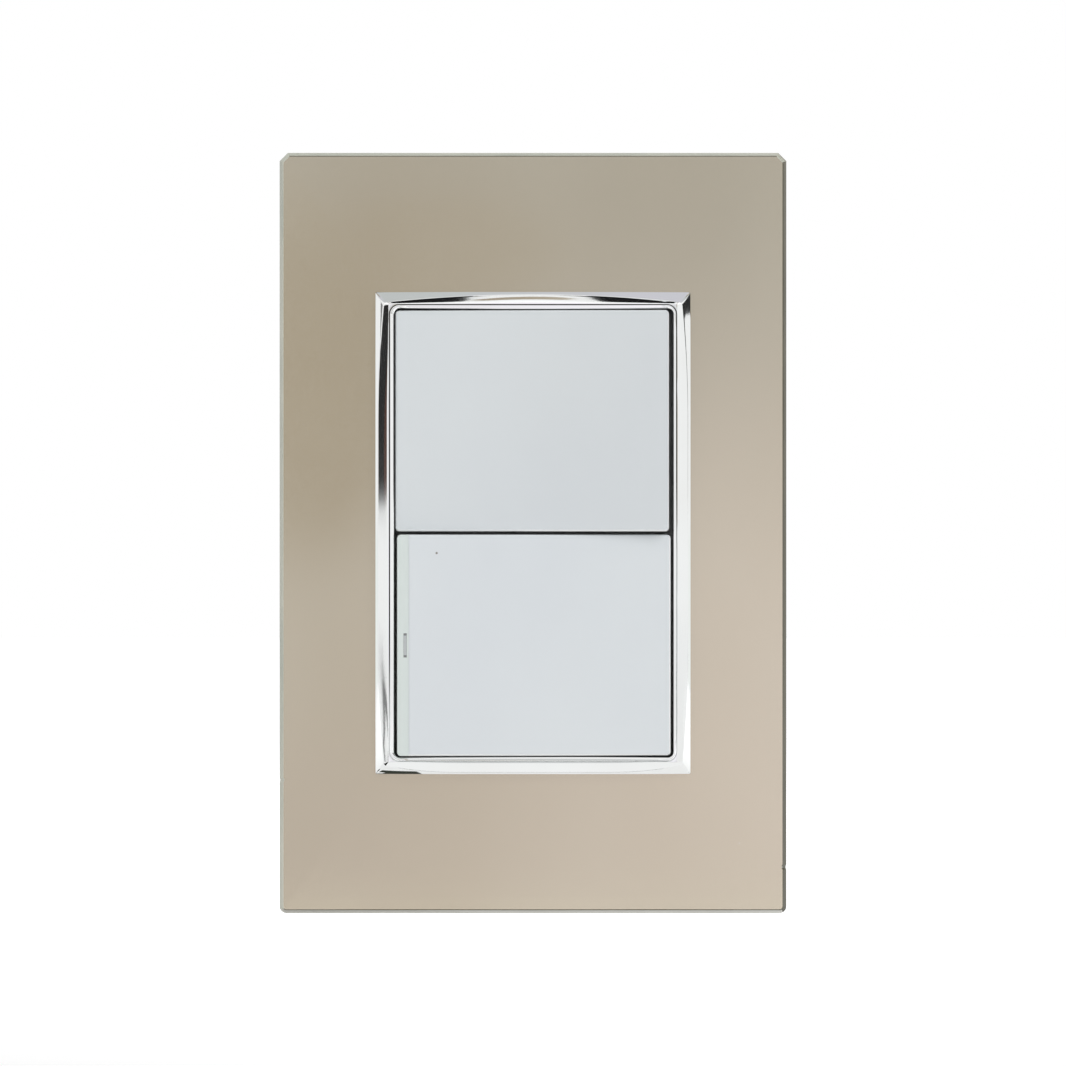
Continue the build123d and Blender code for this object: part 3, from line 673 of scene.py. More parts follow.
def groove_shade_material():
    """Painted shade in the groove of the chrome, fading out towards the lower right."""
    bezel = settings("bezel")
    made, tree, shader = material("Painted shade in the groove")
    # The painted shade is darkest at the upper left and fades out towards the lower right
    along = how_far(tree, (0.5, 0.0, -0.86))
    fade_out = node(tree, "MapRange", {"Value": along, "From Min": 3 * MM, "From Max": 14 * MM}).outputs[0]
    shading = clouded(tree, bezel.groove_shade, (0.12, 0.10, 0.085), scale=160.0)
    connect(
        tree, shader, Base_Color=mixed(tree, fade_out, shading, rgba(bezel.chrome)), Metallic=0.8,
        **moulded(tree, grain=900.0, gloss=0.4, spread=0.2, strength=0.1),
    )
    return made


def rocker_material(name, low, high, marked):
    """Glossy white moulding with a painted highlight along its right and lower edges; the lower rocker is
    painted paler and also has its toned band and a dust speck.
    """
    rocker = settings("rocker")
    made, tree, shader = material(name)
    # Painted light: the lower rocker's white is painted paler than the upper's
    painted_lift = rocker.lower_painted_light if marked else 1.0
    white, deep = (tuple(painted_lift * part for part in tone) for tone in (rocker.white, rocker.white_deep))
    tone = clouded(tree, white, deep, scale=24.0, stretch=(1.0, 1.0, 0.7))
    x, _, z = node(tree, "SeparateXYZ", {0: place_on(tree)}).outputs
    # Painted highlight: the paler white fades in over the last strip at the right and lower edges
    inner, outer = rocker.edge_width + EDGE_FADE / 2, rocker.edge_width - EDGE_FADE / 2
    at_right, at_foot = (
        node(tree, "MapRange", {"Value": place, "From Min": start, "From Max": end}).outputs[0]
        for place, start, end in ((x, high.x - inner, high.x - outer), (z, low.z + inner, low.z + outer))
    )
    edge_highlight = node(tree, "Math", {0: at_right, 1: at_foot}, operation="MAXIMUM").outputs[0]
    tone = mixed(tree, edge_highlight, tone, rgba(rocker.edge))
    if marked:
        in_band = node(tree, "Math", {0: x, 1: low.x + rocker.band_width}, operation="LESS_THAN").outputs[0]
        tone = mixed(tree, in_band, tone, rgba(rocker.band))
        across, up = photo_point(*SPECK_PIXEL)
        speck = effect(tree, "Soft spot", {"Centre": (across, 0.0, up), "Radius": rocker.speck_radius})
        tone = mixed(tree, speck["Mask"], tone, rgba(rocker.speck))
    connect(
        tree, shader, Base_Color=tone, IOR=PLASTIC_IOR, Coat_Weight=0.35, Coat_Roughness=0.04,
        **moulded(tree, grain=1500.0, gloss=0.14, spread=0.06, strength=0.015),
    )
    return made


def lens_material():
    """Clear light guide with a painted shade at both ends, where the slit's wall shows."""
    rocker = settings("rocker")
    low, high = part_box("lower_indicator_lens")
    made, tree, shader = material("Clear light guide")
    middle_z = (low.z + high.z) / 2
    tone = rgba(rocker.lens)
    # Painted shade: a dark soft spot at each end of the lens
    for end in (-1, 1):
        centre = (low.x + rocker.lens_end_inset, 0.0, middle_z + end * rocker.lens_end_offset)
        values = {"Centre": centre, "Radius": rocker.lens_end_radius, "Squash": (0.5, 0.0, 1.0)}
        spot = effect(tree, "Soft spot", values)
        tone = mixed(tree, spot["Mask"], tone, rgba(rocker.lens_end_shade))
    connect(
        tree, shader, Base_Color=tone, IOR=1.49, Coat_Weight=0.5, Coat_Roughness=0.05,
        **moulded(tree, grain=1200.0, gloss=0.18, spread=0.1, strength=0.04),
    )
    return made


def moulding_material(name, tone, gloss, grain):
    """Satin moulded plastic with fine skin and a little dust."""
    made, tree, shader = material(name)
    plastic = clouded(tree, tone, tuple(0.93 * part for part in tone), scale=35.0)
    connect(
        tree, shader, Base_Color=dusty(tree, plastic, (0.5, 0.48, 0.44), density=500.0, size=0.05),
        IOR=PLASTIC_IOR,
        **moulded(tree, grain=grain, gloss=gloss, spread=0.16, strength=0.25, distance=0.04 * MM),
    )
    return made


def metal_material(name, tone, other_tone, gloss, stretch):
    """Drawn, rolled or plated metal with a slow change of tone; stretch is how fine its lines are."""
    made, tree, shader = material(name)
    connect(
        tree, shader, Base_Color=clouded(tree, tone, other_tone, scale=160.0), Metallic=1.0,
        **drawn(tree, stretch=stretch, gloss=gloss, spread=0.22, strength=0.12, distance=0.03 * MM),
    )
    return made


def lamp_material():
    """Glass tube with rosy electrodes, and tinned caps and leads beyond its ends."""
    finish = settings("finish")
    low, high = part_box("lower_pilot_lamp")
    made, tree, shader = material("Pilot lamp")
    z = node(tree, "SeparateXYZ", {0: place_on(tree)}).outputs[2]
    away = node(tree, "Math", {0: z, 1: (low.z + high.z) / 2}, operation="SUBTRACT").outputs[0]
    far = node(tree, "Math", {0: away}, operation="ABSOLUTE").outputs[0]
    is_cap = node(tree, "Math", {0: far, 1: finish.lamp_glass / 2}, operation="GREATER_THAN").outputs[0]
    glass = clouded(tree, finish.lamp, (0.5, 0.36, 0.30), scale=300.0)
    connect(
        tree, shader, Base_Color=mixed(tree, is_cap, glass, rgba(finish.zinc)), Coat_Weight=0.6,
        **moulded(tree, grain=900.0, gloss=0.12, spread=0.1, strength=0.05),
    )
    return made


# Pieces


class SWITCH_OT_camera(bpy.types.Operator):
    """Places the camera straight in front of the panel"""

    bl_idname = "switch.camera"
    bl_label = "Camera"

    def execute(self, context):
        stage = settings("stage")
        data = bpy.data.cameras.new("Front camera")
        data.sensor_width = stage.sensor
        data.lens = stage.sensor * stage.camera_distance / stage.view_width
        camera = bpy.data.objects.new("Front camera", data)
        camera.location = (0.0, plate_low.y - stage.camera_distance, 0.0)
        camera.rotation_euler = (math.radians(90), 0.0, 0.0)
        context.scene.collection.objects.link(camera)
        context.scene.camera = camera
        return {"FINISHED"}


def plate_outline(plate):
    """Outline of the glass panel with points beside its two chips, counter-clockwise."""
    x = plate_high.x
    z = plate_high.z
    radius = plate.bottom_radius
    cut = plate.top_cut
    outline = arc((-x + radius, -z + radius), radius, 180, 270, 6)
    outline += arc((x - radius, -z + radius), radius, 270, 360, 6)
    for side, height, half in chips():
        if side > 0:
            outline += [(x, height + share * half) for share in (-1, -0.4, 0.3, 1)]
    outline += [(x, z - cut), (x - cut, z), (-x + cut, z), (-x, z - cut)]
    for side, height, half in chips():
        if side < 0:
            outline += [(-x, height + share * half) for share in (1, 0.4, -0.3, -1)]
    return outline


def chips():
    """Side, height and half length of the chips on the polished edge."""
    right = photo_point(*RIGHT_CHIP_PIXEL)
    left = photo_point(*LEFT_CHIP_PIXEL)
    return ((1, right[1], 0.45 * MM), (-1, left[1], 0.35 * MM))


def dented(outline, depth):
    """The outline with the middle points of each chip pushed inwards."""
    moved = []
    for x, z in outline:
        for side, height, half in chips():
            if x * side > 0 and abs(z - height) < half * 0.6:
                x -= side * depth
        moved.append((x, z))
    return moved


class SWITCH_OT_glass_panel(bpy.types.Operator):
    """Builds the glass panel with its bevel, cut corners and chips"""

    bl_idname = "switch.glass_panel"
    bl_label = "Glass panel"

    def execute(self, context):
        plate = settings("plate")
        outline = plate_outline(plate)
        front = plate_low.y
        back = plate_high.y
        soft = plate.bevel_rounding
        sections = [  # inset, depth and share of the chips' depth
            (plate.bevel + soft, front, 0.8),
            (plate.bevel - 0.4 * soft, front + 0.35 * soft, 1.0),
            (plate.bevel - 1.4 * soft, front + 1.2 * soft, 1.2),
            (1.2 * soft, front + plate.bevel - 1.4 * soft, 1.2),
            (0.35 * soft, front + plate.bevel - 0.4 * soft, 1.0),
            (0.0, front + plate.bevel + soft, 0.6),
            (0.0, back - plate.arris, 0.0),
            (plate.arris, back, 0.0),
        ]
        bm = bmesh.new()
        rings = [
            ring(bm, dented(inset(outline, away), plate.chip_depth * dent), y) for away, y, dent in sections
        ]
        paint, edge, coat, shaded, lit = range(5)
        for outer, inner in zip(rings, rings[1:]):
            bridge(bm, outer, inner, edge)
        hole = rounded_ring(plate.opening_width, plate.opening_height, 0.3 * MM, side_steps=2, corner_steps=2)
        hole_front = ring(bm, hole, front)
        hole_back = ring(bm, hole, back)
        bridge(bm, hole_front, hole_back, edge)
        flat_with_hole(bm, rings[0], hole_front, paint)
        flat_with_hole(bm, rings[-1], hole_back, coat)
        # Painted light on the front bevel: the right side and the inner ring at the top and bottom take the
        # painted shade, the rest of the bevel below takes the painted highlight
        near = 1.3 * plate.bevel
        for face in bm.faces:
            middle = face.calc_center_median()
            if face.material_index != edge or middle.y > front + plate.bevel:
                continue
            inner = middle.y < front + 0.45 * soft
            if middle.x > plate_high.x - near:
                face.material_index = shaded
            elif middle.z < plate_low.z + near:
                face.material_index = shaded if inner else lit
            elif middle.z > plate_high.z - near and inner:
                face.material_index = shaded
        finishes = [
            painted_glass_material(),
            glass_edge_material("Polished glass edge", plate.edge, (0.52, 0.52, 0.44)),
            back_coat_material(),
            # Painted shade and painted highlight on the bevel
            glass_edge_material("Bevel in the shade", plate.bevel_painted_shade, (0.13, 0.12, 0.085)),
            glass_edge_material("Bevel in the light", plate.bevel_painted_light, (0.56, 0.55, 0.50)),
        ]
        panel = finish_mesh("glass_panel_dressed", bm, finishes, "base", crease=20.0)
        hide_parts("glass_panel")
        return {"FINISHED"}


# Where the bezel's rings lie, from its edge to the ridge and from the ridge to the foot of the lip
FACET_SHARES = (0.0, 0.08, 0.3, 0.5, 0.7, 0.9, 0.98)
DISH_SHARES = (0.02, 0.08, 0.16, 0.26, 0.38, 0.5, 0.64, 0.78, 0.9, 1.0)

# The lip's own rings: share of its width past the groove or of its whole width, and depth below its top
LIP_OUTSIDE = ((0.0, 0.06 * MM), (0.05, 0.01 * MM), (0.10, 0.0))
LIP_INSIDE = ((0.86, 0.0), (0.95, 0.03 * MM), (1.0, 0.12 * MM))


def blend_rings(ring_a, ring_b, share):
    """The outline at a share of the way from one ring to another."""
    return [tuple(Vector(a).lerp(Vector(b), share)) for a, b in zip(ring_a, ring_b)]


def bezel_sections(bezel):
    """Rings of the bezel from its foot over the ridge, the dish and the lip to the collar's end.

    Each is an outline, its depth and the finish of the band that follows it.
    """
    width = bezel_high.x - bezel_low.x
    height = bezel_high.z - bezel_low.z
    half_w = width / 2
    half_h = height / 2
    foot = plate_low.y
    back = bezel_high.y
    floor = bezel_low.y + bezel.dish
    lip_top = floor - bezel.lip_rise
    outer = rounded_ring(width, height, bezel.corner)
    top_bow = bezel.top_inset - bezel.middle_inset
    side_bow = bezel.side_inset - bezel.middle_inset
    foot_bow = bezel.foot_inset - bezel.foot_middle
    ridge = bowed_ring(
        (-half_w + bezel.side_inset, -half_h + bezel.foot_inset),
        (half_w - bezel.side_inset, half_h - bezel.top_inset),
        bezel.ridge_radius,
        bows=(top_bow, side_bow, foot_bow, side_bow),
        straights=(0.0, 0.5, 0.5, 0.5),
    )
    lip_w = bezel.opening_width + 2 * bezel.lip
    lip_h = bezel.opening_height + 2 * bezel.lip
    dish_end = rounded_ring(lip_w, lip_h, bezel.corner)
    lip_foot = rounded_ring(lip_w, lip_h, bezel.opening_radius + bezel.lip)
    opening = bowed_ring(
        (bezel.lip_shift - bezel.opening_width / 2, -bezel.opening_height / 2),
        (bezel.lip_shift + bezel.opening_width / 2, bezel.opening_height / 2),
        bezel.opening_radius,
        bows=(-bezel.lip_bow, 0, -bezel.lip_bow, 0),
    )
    collar = rounded_ring(
        bezel.opening_width + 2 * bezel.collar, bezel.opening_height + 2 * bezel.collar, bezel.opening_radius
    )
    insets = [min(half_w - abs(x), half_h - abs(z)) for x, z in ridge]
    falls = [
        min(bezel.dish, bezel.dish_slope * max(abs(x) - lip_w / 2, abs(z) - lip_h / 2)) for x, z in ridge
    ]
    steep = math.tan(bezel.facet_outside)
    gentle = math.tan(bezel.facet_inside)
    sections = [(outer, foot, 0)]
    for share in FACET_SHARES:
        left = 1 - share
        drop = left * gentle + left * left * (steep - gentle) / 2
        depths = [floor - fall + inset * drop for fall, inset in zip(falls, insets)]
        sections.append((blend_rings(outer, ridge, share), depths, 0))
    for share in DISH_SHARES:
        left = (1 - share) ** bezel.hollow if share > DISH_SHARES[0] else 1.0
        sections.append((blend_rings(ridge, dish_end, share), [floor - fall * left for fall in falls], 0))
    into = bezel.groove / bezel.lip
    # The groove's two bands take the second finish, the painted shade
    sections += [
        (lip_foot, floor, 1),
        (blend_rings(lip_foot, opening, 0.5 * into), floor + bezel.groove_depth, 1),
    ]
    lip = [(into + share, lip_top + below) for share, below in LIP_OUTSIDE]
    lip += [(share, lip_top + bezel.lip_lean + below) for share, below in LIP_INSIDE]
    sections += [(blend_rings(lip_foot, opening, share), depth, 0) for share, depth in lip]
    return sections + [(opening, back, 0), (collar, back, 0), (collar, foot, 0)]


def add_box(bm, low, high):
    """A block between two corners with a small bevel on every edge."""
    size = Vector(high) - Vector(low)
    middle = (Vector(high) + Vector(low)) / 2
    place = Matrix.Translation(middle) @ Matrix.Diagonal((size.x, size.y, size.z, 1.0))
    made = bmesh.ops.create_cube(bm, size=1.0, matrix=place)
    edges = {edge for corner in made["verts"] for edge in corner.link_edges}
    bmesh.ops.bevel(bm, geom=list(edges), offset=min(size) * 0.15, segments=2, affect="EDGES")


class SWITCH_OT_chrome_bezel(bpy.types.Operator):
    """Builds the chrome bezel with its bowed ridge, dish, lip, collar and claws"""

    bl_idname = "switch.chrome_bezel"
    bl_label = "Chrome bezel"

    def execute(self, context):
        bezel = settings("bezel")
        bm = bmesh.new()
        sections = bezel_sections(bezel)
        rings = [ring(bm, outline, y) for outline, y, _ in sections]
        for (_, _, finish), outer, inner in zip(sections, rings, rings[1:] + rings[:1]):
            bridge(bm, outer, inner, finish)
        collar_x = bezel.opening_width / 2 + bezel.collar
        back = bezel_high.y
        for side in (-1, 1):
            for middle in (-bezel.claw_offset, bezel.claw_offset):
                ends = sorted((side * (collar_x - 0.2 * MM), side * (collar_x + bezel.claw_proud)))
                low = (ends[0], back - bezel.claw_thickness, middle - bezel.claw_length / 2)
                high = (ends[1], back, middle + bezel.claw_length / 2)
                add_box(bm, low, high)
        # Chrome, and the painted shade in the groove
        finishes = [chrome_material(), groove_shade_material()]
        obj = finish_mesh("chrome_bezel_dressed", bm, finishes, "base", crease=38.0)
        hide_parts("chrome_bezel")
        return {"FINISHED"}


class SWITCH_OT_rockers(bpy.types.Operator):
    """Gives the two rockers their glossy white and the indicator its lens"""

    bl_idname = "switch.rockers"
    bl_label = "Rockers and indicator"

    def execute(self, context):
        for side in SIDES:
            low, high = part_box(side + "_rocker")
            marked = side == "lower"
            dress(side + "_rocker", rocker_material("Rocker white, " + side, low, high, marked))
        dress("lower_indicator_lens", lens_material())
        dress("lower_pilot_lamp", lamp_material())
        return {"FINISHED"}


class SWITCH_OT_mouldings(bpy.types.Operator):
    """Gives the carrier, the yoke, the covers, the housings and the plungers their plastics"""

    bl_idname = "switch.mouldings"
    bl_label = "Mouldings"

    def execute(self, context):
        finish = settings("finish")
        dress("panel_carrier", moulding_material("Carrier plastic", finish.carrier, gloss=0.42, grain=700.0))
        dress("mounting_yoke", moulding_material("Yoke plastic", finish.yoke, gloss=0.45, grain=800.0))
        casing = moulding_material("Casing plastic", finish.casing, gloss=0.36, grain=900.0)
        dress_both("module_cover", casing)
        dress_both("housing", casing)
        dress_both("plunger", moulding_material("Natural nylon", finish.nylon, gloss=0.3, grain=1200.0))
        return {"FINISHED"}


class SWITCH_OT_contacts(bpy.types.Operator):
    """Gives the terminals, the contact seesaws and the rivets their metals"""

    bl_idname = "switch.contacts"
    bl_label = "Contacts"

    def execute(self, context):
        finish = settings("finish")
        brass = metal_material("Rolled brass", finish.brass, (0.62, 0.43, 0.20), 0.3, (60.0, 900.0, 900.0))
        silver = metal_material("Silver alloy", finish.silver, (0.70, 0.69, 0.66), 0.34, (500.0,) * 3)
        for piece in ("common_terminal", "load_terminal", "contact_blade"):
            dress_both(piece, brass)
        for piece in ("moving_contact", "fixed_contact"):
            dress_both(piece, silver)
        return {"FINISHED"}


def joint(name):
    """A joint of the frame."""
    return next(found for found in frame["joints"] if found["name"] == name)


def add_spring(bm, foot, along, spring, steps_per_turn=28, wire_steps=10):
    """A compression spring with closed ends, wound from its foot along an axis."""
    across = along.orthogonal().normalized()
    beside = along.cross(across)
    steps = round(spring.turns * steps_per_turn)
    path_height = spring.height - 2 * spring.wire
    closed_height = 2 * spring.wire * spring.closed
    slope = (path_height - 2 * closed_height) / (spring.turns - 2 * spring.closed)
    rings = []
    for step in range(steps + 1):
        turn = spring.turns * step / steps
        left = spring.turns - turn
        rise = closed_height + (turn - spring.closed) * slope
        if turn < spring.closed:
            rise = 2 * spring.wire * turn
        elif left < spring.closed:
            rise = path_height - 2 * spring.wire * left
        outward = across * math.cos(2 * math.pi * turn) + beside * math.sin(2 * math.pi * turn)
        centre = foot + along * (spring.wire + rise) + outward * spring.coil
        section = []
        for corner in range(wire_steps):
            lean = 2 * math.pi * corner / wire_steps
            point = centre + (outward * math.cos(lean) + along * math.sin(lean)) * spring.wire
            section.append(bm.verts.new(point))
        rings.append(section)
    skin_over(bm, rings)


class SWITCH_OT_springs(bpy.types.Operator):
    """Winds the plunger springs along the plungers' slide, riding on the keys"""

    bl_idname = "switch.springs"
    bl_label = "Plunger springs"

    def execute(self, context):
        finish = settings("finish")
        spring = settings("spring")
        steel = metal_material("Spring wire", finish.steel, (0.42, 0.42, 0.43), 0.26, (900.0, 60.0, 900.0))
        for side in SIDES:
            slide = joint(side + "_plunger_slide")
            along = -Vector(slide["axis"]).normalized()
            foot = Vector(joint(side + "_rock")["pos_m"]) - along * spring.foot
            bm = bmesh.new()
            add_spring(bm, foot, along, spring)
            coil = finish_mesh(side + "_plunger_spring_dressed", bm, [steel], side + "_key", crease=60.0)
            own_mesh(coil)
            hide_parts(side + "_plunger_spring")
        return {"FINISHED"}


def round_outline(z, radii):
    """Points round an axis along Y at a height, with a radius for each."""
    turns = [2 * math.pi * step / len(radii) for step in range(len(radii))]
    return [(radius * math.cos(turn), z + radius * math.sin(turn)) for radius, turn in zip(radii, turns)]


def add_turned(bm, profile, z, steps=40):
    """A turned shape from (radius, y) points round an axis along Y at a height."""
    skin_over(bm, [ring(bm, round_outline(z, [radius] * steps), y) for radius, y in profile])


def add_thread(bm, screw, z, steps=30, rows_per_turn=8):
    """The threaded shank: one skin whose radius follows the helix, with a run-out at each end."""
    rows = int(screw.shank / screw.pitch * rows_per_turn)
    root = screw.thread_radius - screw.thread_depth
    rings = []
    for row in range(rows + 1):
        y = screw.shank * row / rows
        left = screw.shank - y
        from_end = min(y / (RUN_OUT_NECK * screw.pitch), left / (RUN_OUT_TIP * screw.pitch), 1.0)
        tip = min(1.0, TIP_SHARE + left / (TIP_LENGTH * screw.pitch) * (1.0 - TIP_SHARE))
        radii = []
        for step in range(steps):
            phase = (y / screw.pitch - step / steps) % 1.0
            height = min((1.0 - abs(2.0 * phase - 1.0)) * CREST_CUT, 1.0)
            radii.append((root + screw.thread_depth * height * from_end) * tip)
        rings.append(ring(bm, round_outline(z, radii), y))
    skin_over(bm, rings)


def screw_head_profile(screw):
    """Pan head and plain neck as (radius, y) points from the top of the head."""
    top = -screw.seat - screw.head_height
    edge = screw.head_edge
    small = 0.1 * MM
    flat = screw.head_radius - edge
    points = [(0.4 * MM, top)] + arc((flat, top + edge), edge, -90, 0, 6)
    points += [(screw.head_radius, -screw.seat - small), (screw.head_radius - small, -screw.seat)]
    points += [(screw.neck_radius + small, -screw.seat), (screw.neck_radius, -screw.seat + 1.5 * small)]
    points += [(screw.neck_radius, 0.5 * small)]
    return points


class SWITCH_OT_fasteners(bpy.types.Operator):
    """Builds the threaded fixing screws and plates the terminal screws and clamps"""

    bl_idname = "switch.fasteners"
    bl_label = "Screws and clamps"

    def execute(self, context):
        finish = settings("finish")
        screw = settings("screw")
        zinc = metal_material("Zinc plating", finish.zinc, (0.54, 0.57, 0.62), 0.3, (260.0,) * 3)
        bm = bmesh.new()
        cutter_bm = bmesh.new()
        top = -screw.seat - screw.head_height
        for side in (-1, 1):
            z = side * screw.spacing / 2
            add_turned(bm, screw_head_profile(screw), z)
            add_thread(bm, screw, z)
            for width, height in ((screw.slot, screw.cross), (screw.cross, screw.slot)):
                low = (-width / 2, top - screw.recess_depth, z - height / 2)
                high = (width / 2, top + screw.recess_depth, z + height / 2)
                add_box(cutter_bm, low, high)
        screws = finish_mesh("fixing_screws_dressed", bm, [zinc], "base", crease=35.0)
        cutter = finish_mesh("recess_cutter", cutter_bm, [zinc], "base")
        cut = screws.modifiers.new("Driver recess", "BOOLEAN")
        cut.object = cutter
        cut.solver = "EXACT"
        cut.use_self = True
        screws.modifiers.move(1, 0)
        graph = context.evaluated_depsgraph_get()
        screws.data = bpy.data.meshes.new_from_object(screws.evaluated_get(graph))
        screws.modifiers.clear()
        bpy.data.objects.remove(cutter)
        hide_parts("fixing_screws")
        for piece in ("terminal_screws", "clamp_plates"):
            dress_both(piece, zinc)
        return {"FINISHED"}


def mirror_or_camera(tree, in_mirrors=1.0):
    """1 where the camera or clear glass looks, a level for mirrors, and 0 for light on matt surfaces."""
    rays = node(tree, "LightPath").outputs
    mirrored = multiply(tree, rays["Is Glossy Ray"], in_mirrors)
    seen = node(tree, "Math", {0: rays["Is Camera Ray"], 1: mirrored}, operation="MAXIMUM").outputs[0]
    return node(tree, "Math", {0: seen, 1: rays["Is Transmission Ray"]}, operation="MAXIMUM").outputs[0]


def floor_material(stage):
    """Matt floor that the camera and mirrors see brighter than it is lit, more so far from the object."""
    made, tree, out = empty_material("Pale floor")
    deeper = tuple(0.98 * part for part in stage.floor)
    matt = node(tree, "BsdfDiffuse", {"Color": clouded(tree, stage.floor, deeper, scale=2.0)})
    near = effect(tree, "Soft spot", {"Radius": 0.5, "Squash": (1.0, 1.0, 0.0)})["Mask"]
    shine = mixed(tree, near, rgba((stage.floor_far,) * 3), rgba((stage.floor_glow,) * 3))
    glow = node(tree, "Emission", {"Color": shine, "Strength": mirror_or_camera(tree, stage.floor_mirrored)})
    both = node(tree, "AddShader", {0: matt.outputs[0], 1: glow.outputs[0]})
    tree.links.new(both.outputs[0], out)
    return made


def card_material(name, near, far, reach=0.3, towards=(1.0, 0.0, 0.0), patches=()):
    """A card that shines from one tone to another towards a direction, with soft patches on it.

    The tones change between reach before and reach behind the middle of the stage. Each patch is a
    centre, how much it is squashed and its tone.
    """
    made, tree, out = empty_material(name)
    share = node(
        tree, "MapRange", {"Value": how_far(tree, towards), "From Min": -reach, "From Max": reach}
    ).outputs[0]
    tone = mixed(tree, share, rgba(near), rgba(far))
    for centre, squash, patch in patches:
        spot = effect(tree, "Soft spot", {"Centre": centre, "Radius": 1.0, "Squash": squash})
        tone = mixed(tree, spot["Mask"], tone, rgba(patch))
    tree.links.new(node(tree, "Emission", {"Color": tone}).outputs[0], out)
    return made


def add_mirrored(name, rows, finish):
    """A card that only mirrors and gloss can see, from rows of points."""
    bm = bmesh.new()
    rows = [[bm.verts.new(point) for point in row] for row in rows]
    if len(rows) == 1:
        bm.faces.new(rows[0])
    for here, there in zip(rows, rows[1:]):
        for step in range(len(here) - 1):
            bm.faces.new((here[step], there[step], there[step + 1], here[step + 1]))
    card = add_object(name, bm, [finish])
    card.visible_camera = False
    card.visible_diffuse = False
    card.visible_shadow = False


def level(corners, height):
    """The one row of a level shape with the given (x, y) corners."""
    return [[(x, y, height) for x, y in corners]]


def level_box(low, high, height):
    """A level rectangle between two (x, y) corners."""
    return level(((low[0], low[1]), (high[0], low[1]), (high[0], high[1]), (low[0], high[1])), height)


def upright_box(width, height, y):
    """An upright rectangle square to the camera's line."""
    return [[(x * width / 2, y, z * height / 2) for x, z in ((-1, -1), (1, -1), (1, 1), (-1, 1))]]


def surround(columns, radius=1.5, steps=6):
    """A piece of a ball round the panel from (azimuth, lowest, highest) columns in degrees.

    Azimuth 0 is straight in front of the panel and 90 is to its right.
    """
    rows = []
    for azimuth, low, high in columns:
        turn = math.radians(azimuth)
        row = []
        for step in range(steps + 1):
            rise = math.radians(low + (high - low) * step / steps)
            across = radius * math.cos(rise)
            row.append((across * math.sin(turn), -across * math.cos(turn), radius * math.sin(rise)))
        rows.append(row)
    return rows


# Outlines (x, y) of the dark shapes on the floor, in metres
STRIP = (
    (-0.036, -0.085), (-0.036, -0.30), (-0.013, -0.28), (-0.0095, -0.225), (-0.0075, -0.18), (-0.005, -0.166),
    (0.003, -0.18), (0.0065, -0.197), (0.0095, -0.24), (0.0135, -0.30), (0.036, -0.30), (0.036, -0.085),
)
TAPER = (
    (-0.10, -0.037), (-0.0255, -0.037), (-0.0225, -0.016), (-0.017, -0.008), (-0.006, -0.002), (-0.10, -0.002)
)

# Columns (azimuth, lowest, highest) of the surround's dark and pale parts, in degrees
RIGHT_WALL = (
    (14, 0.6, 30), (20, 0.5, 32), (30, 0.5, 33), (45, 0.6, 35), (58, 3, 38), (63, 9.2, 42), (68, 9.6, 46),
    (76, 9.2, 46), (84, 8.5, 50), (94, 7.6, 50), (102, 7.3, 50),
)
LEFT_WALL = ((-93, 7.6, 45), (-87, 8.8, 45), (-80, 13, 45), (-70, 15, 45))
LEFT_POST = ((-66.5, -35, 30), (-60.5, -35, 30))
SKIRTING = ((15, -3.5, -2.9), (24, -2.55, -2.1), (32, -2.6, -2.1), (40, -2.7, -2.3))
PALE_WALL = ((66.5, -12, 0), (80, -12, 0), (93, -12, 0))

# Patches on the card behind the camera and on the right wall: centre, squash and tone
WARM_PATCHES = (
    ((0.0, 0.0, 0.488), (0.3, 0.0, 1.86), (0.64, 0.65, 0.66)),
    ((-0.115, 0.0, 0.075), (13.0, 0.0, 9.5), (0.54, 0.49, 0.41)),
    ((-0.05, 0.0, 0.135), (13.0, 0.0, 27.0), (0.60, 0.56, 0.50)),
)
WALL_PATCHES = (((0.42, -1.42, 0.03), (7.0, 0.0, 22.0), (0.10, 0.055, 0.045)),)


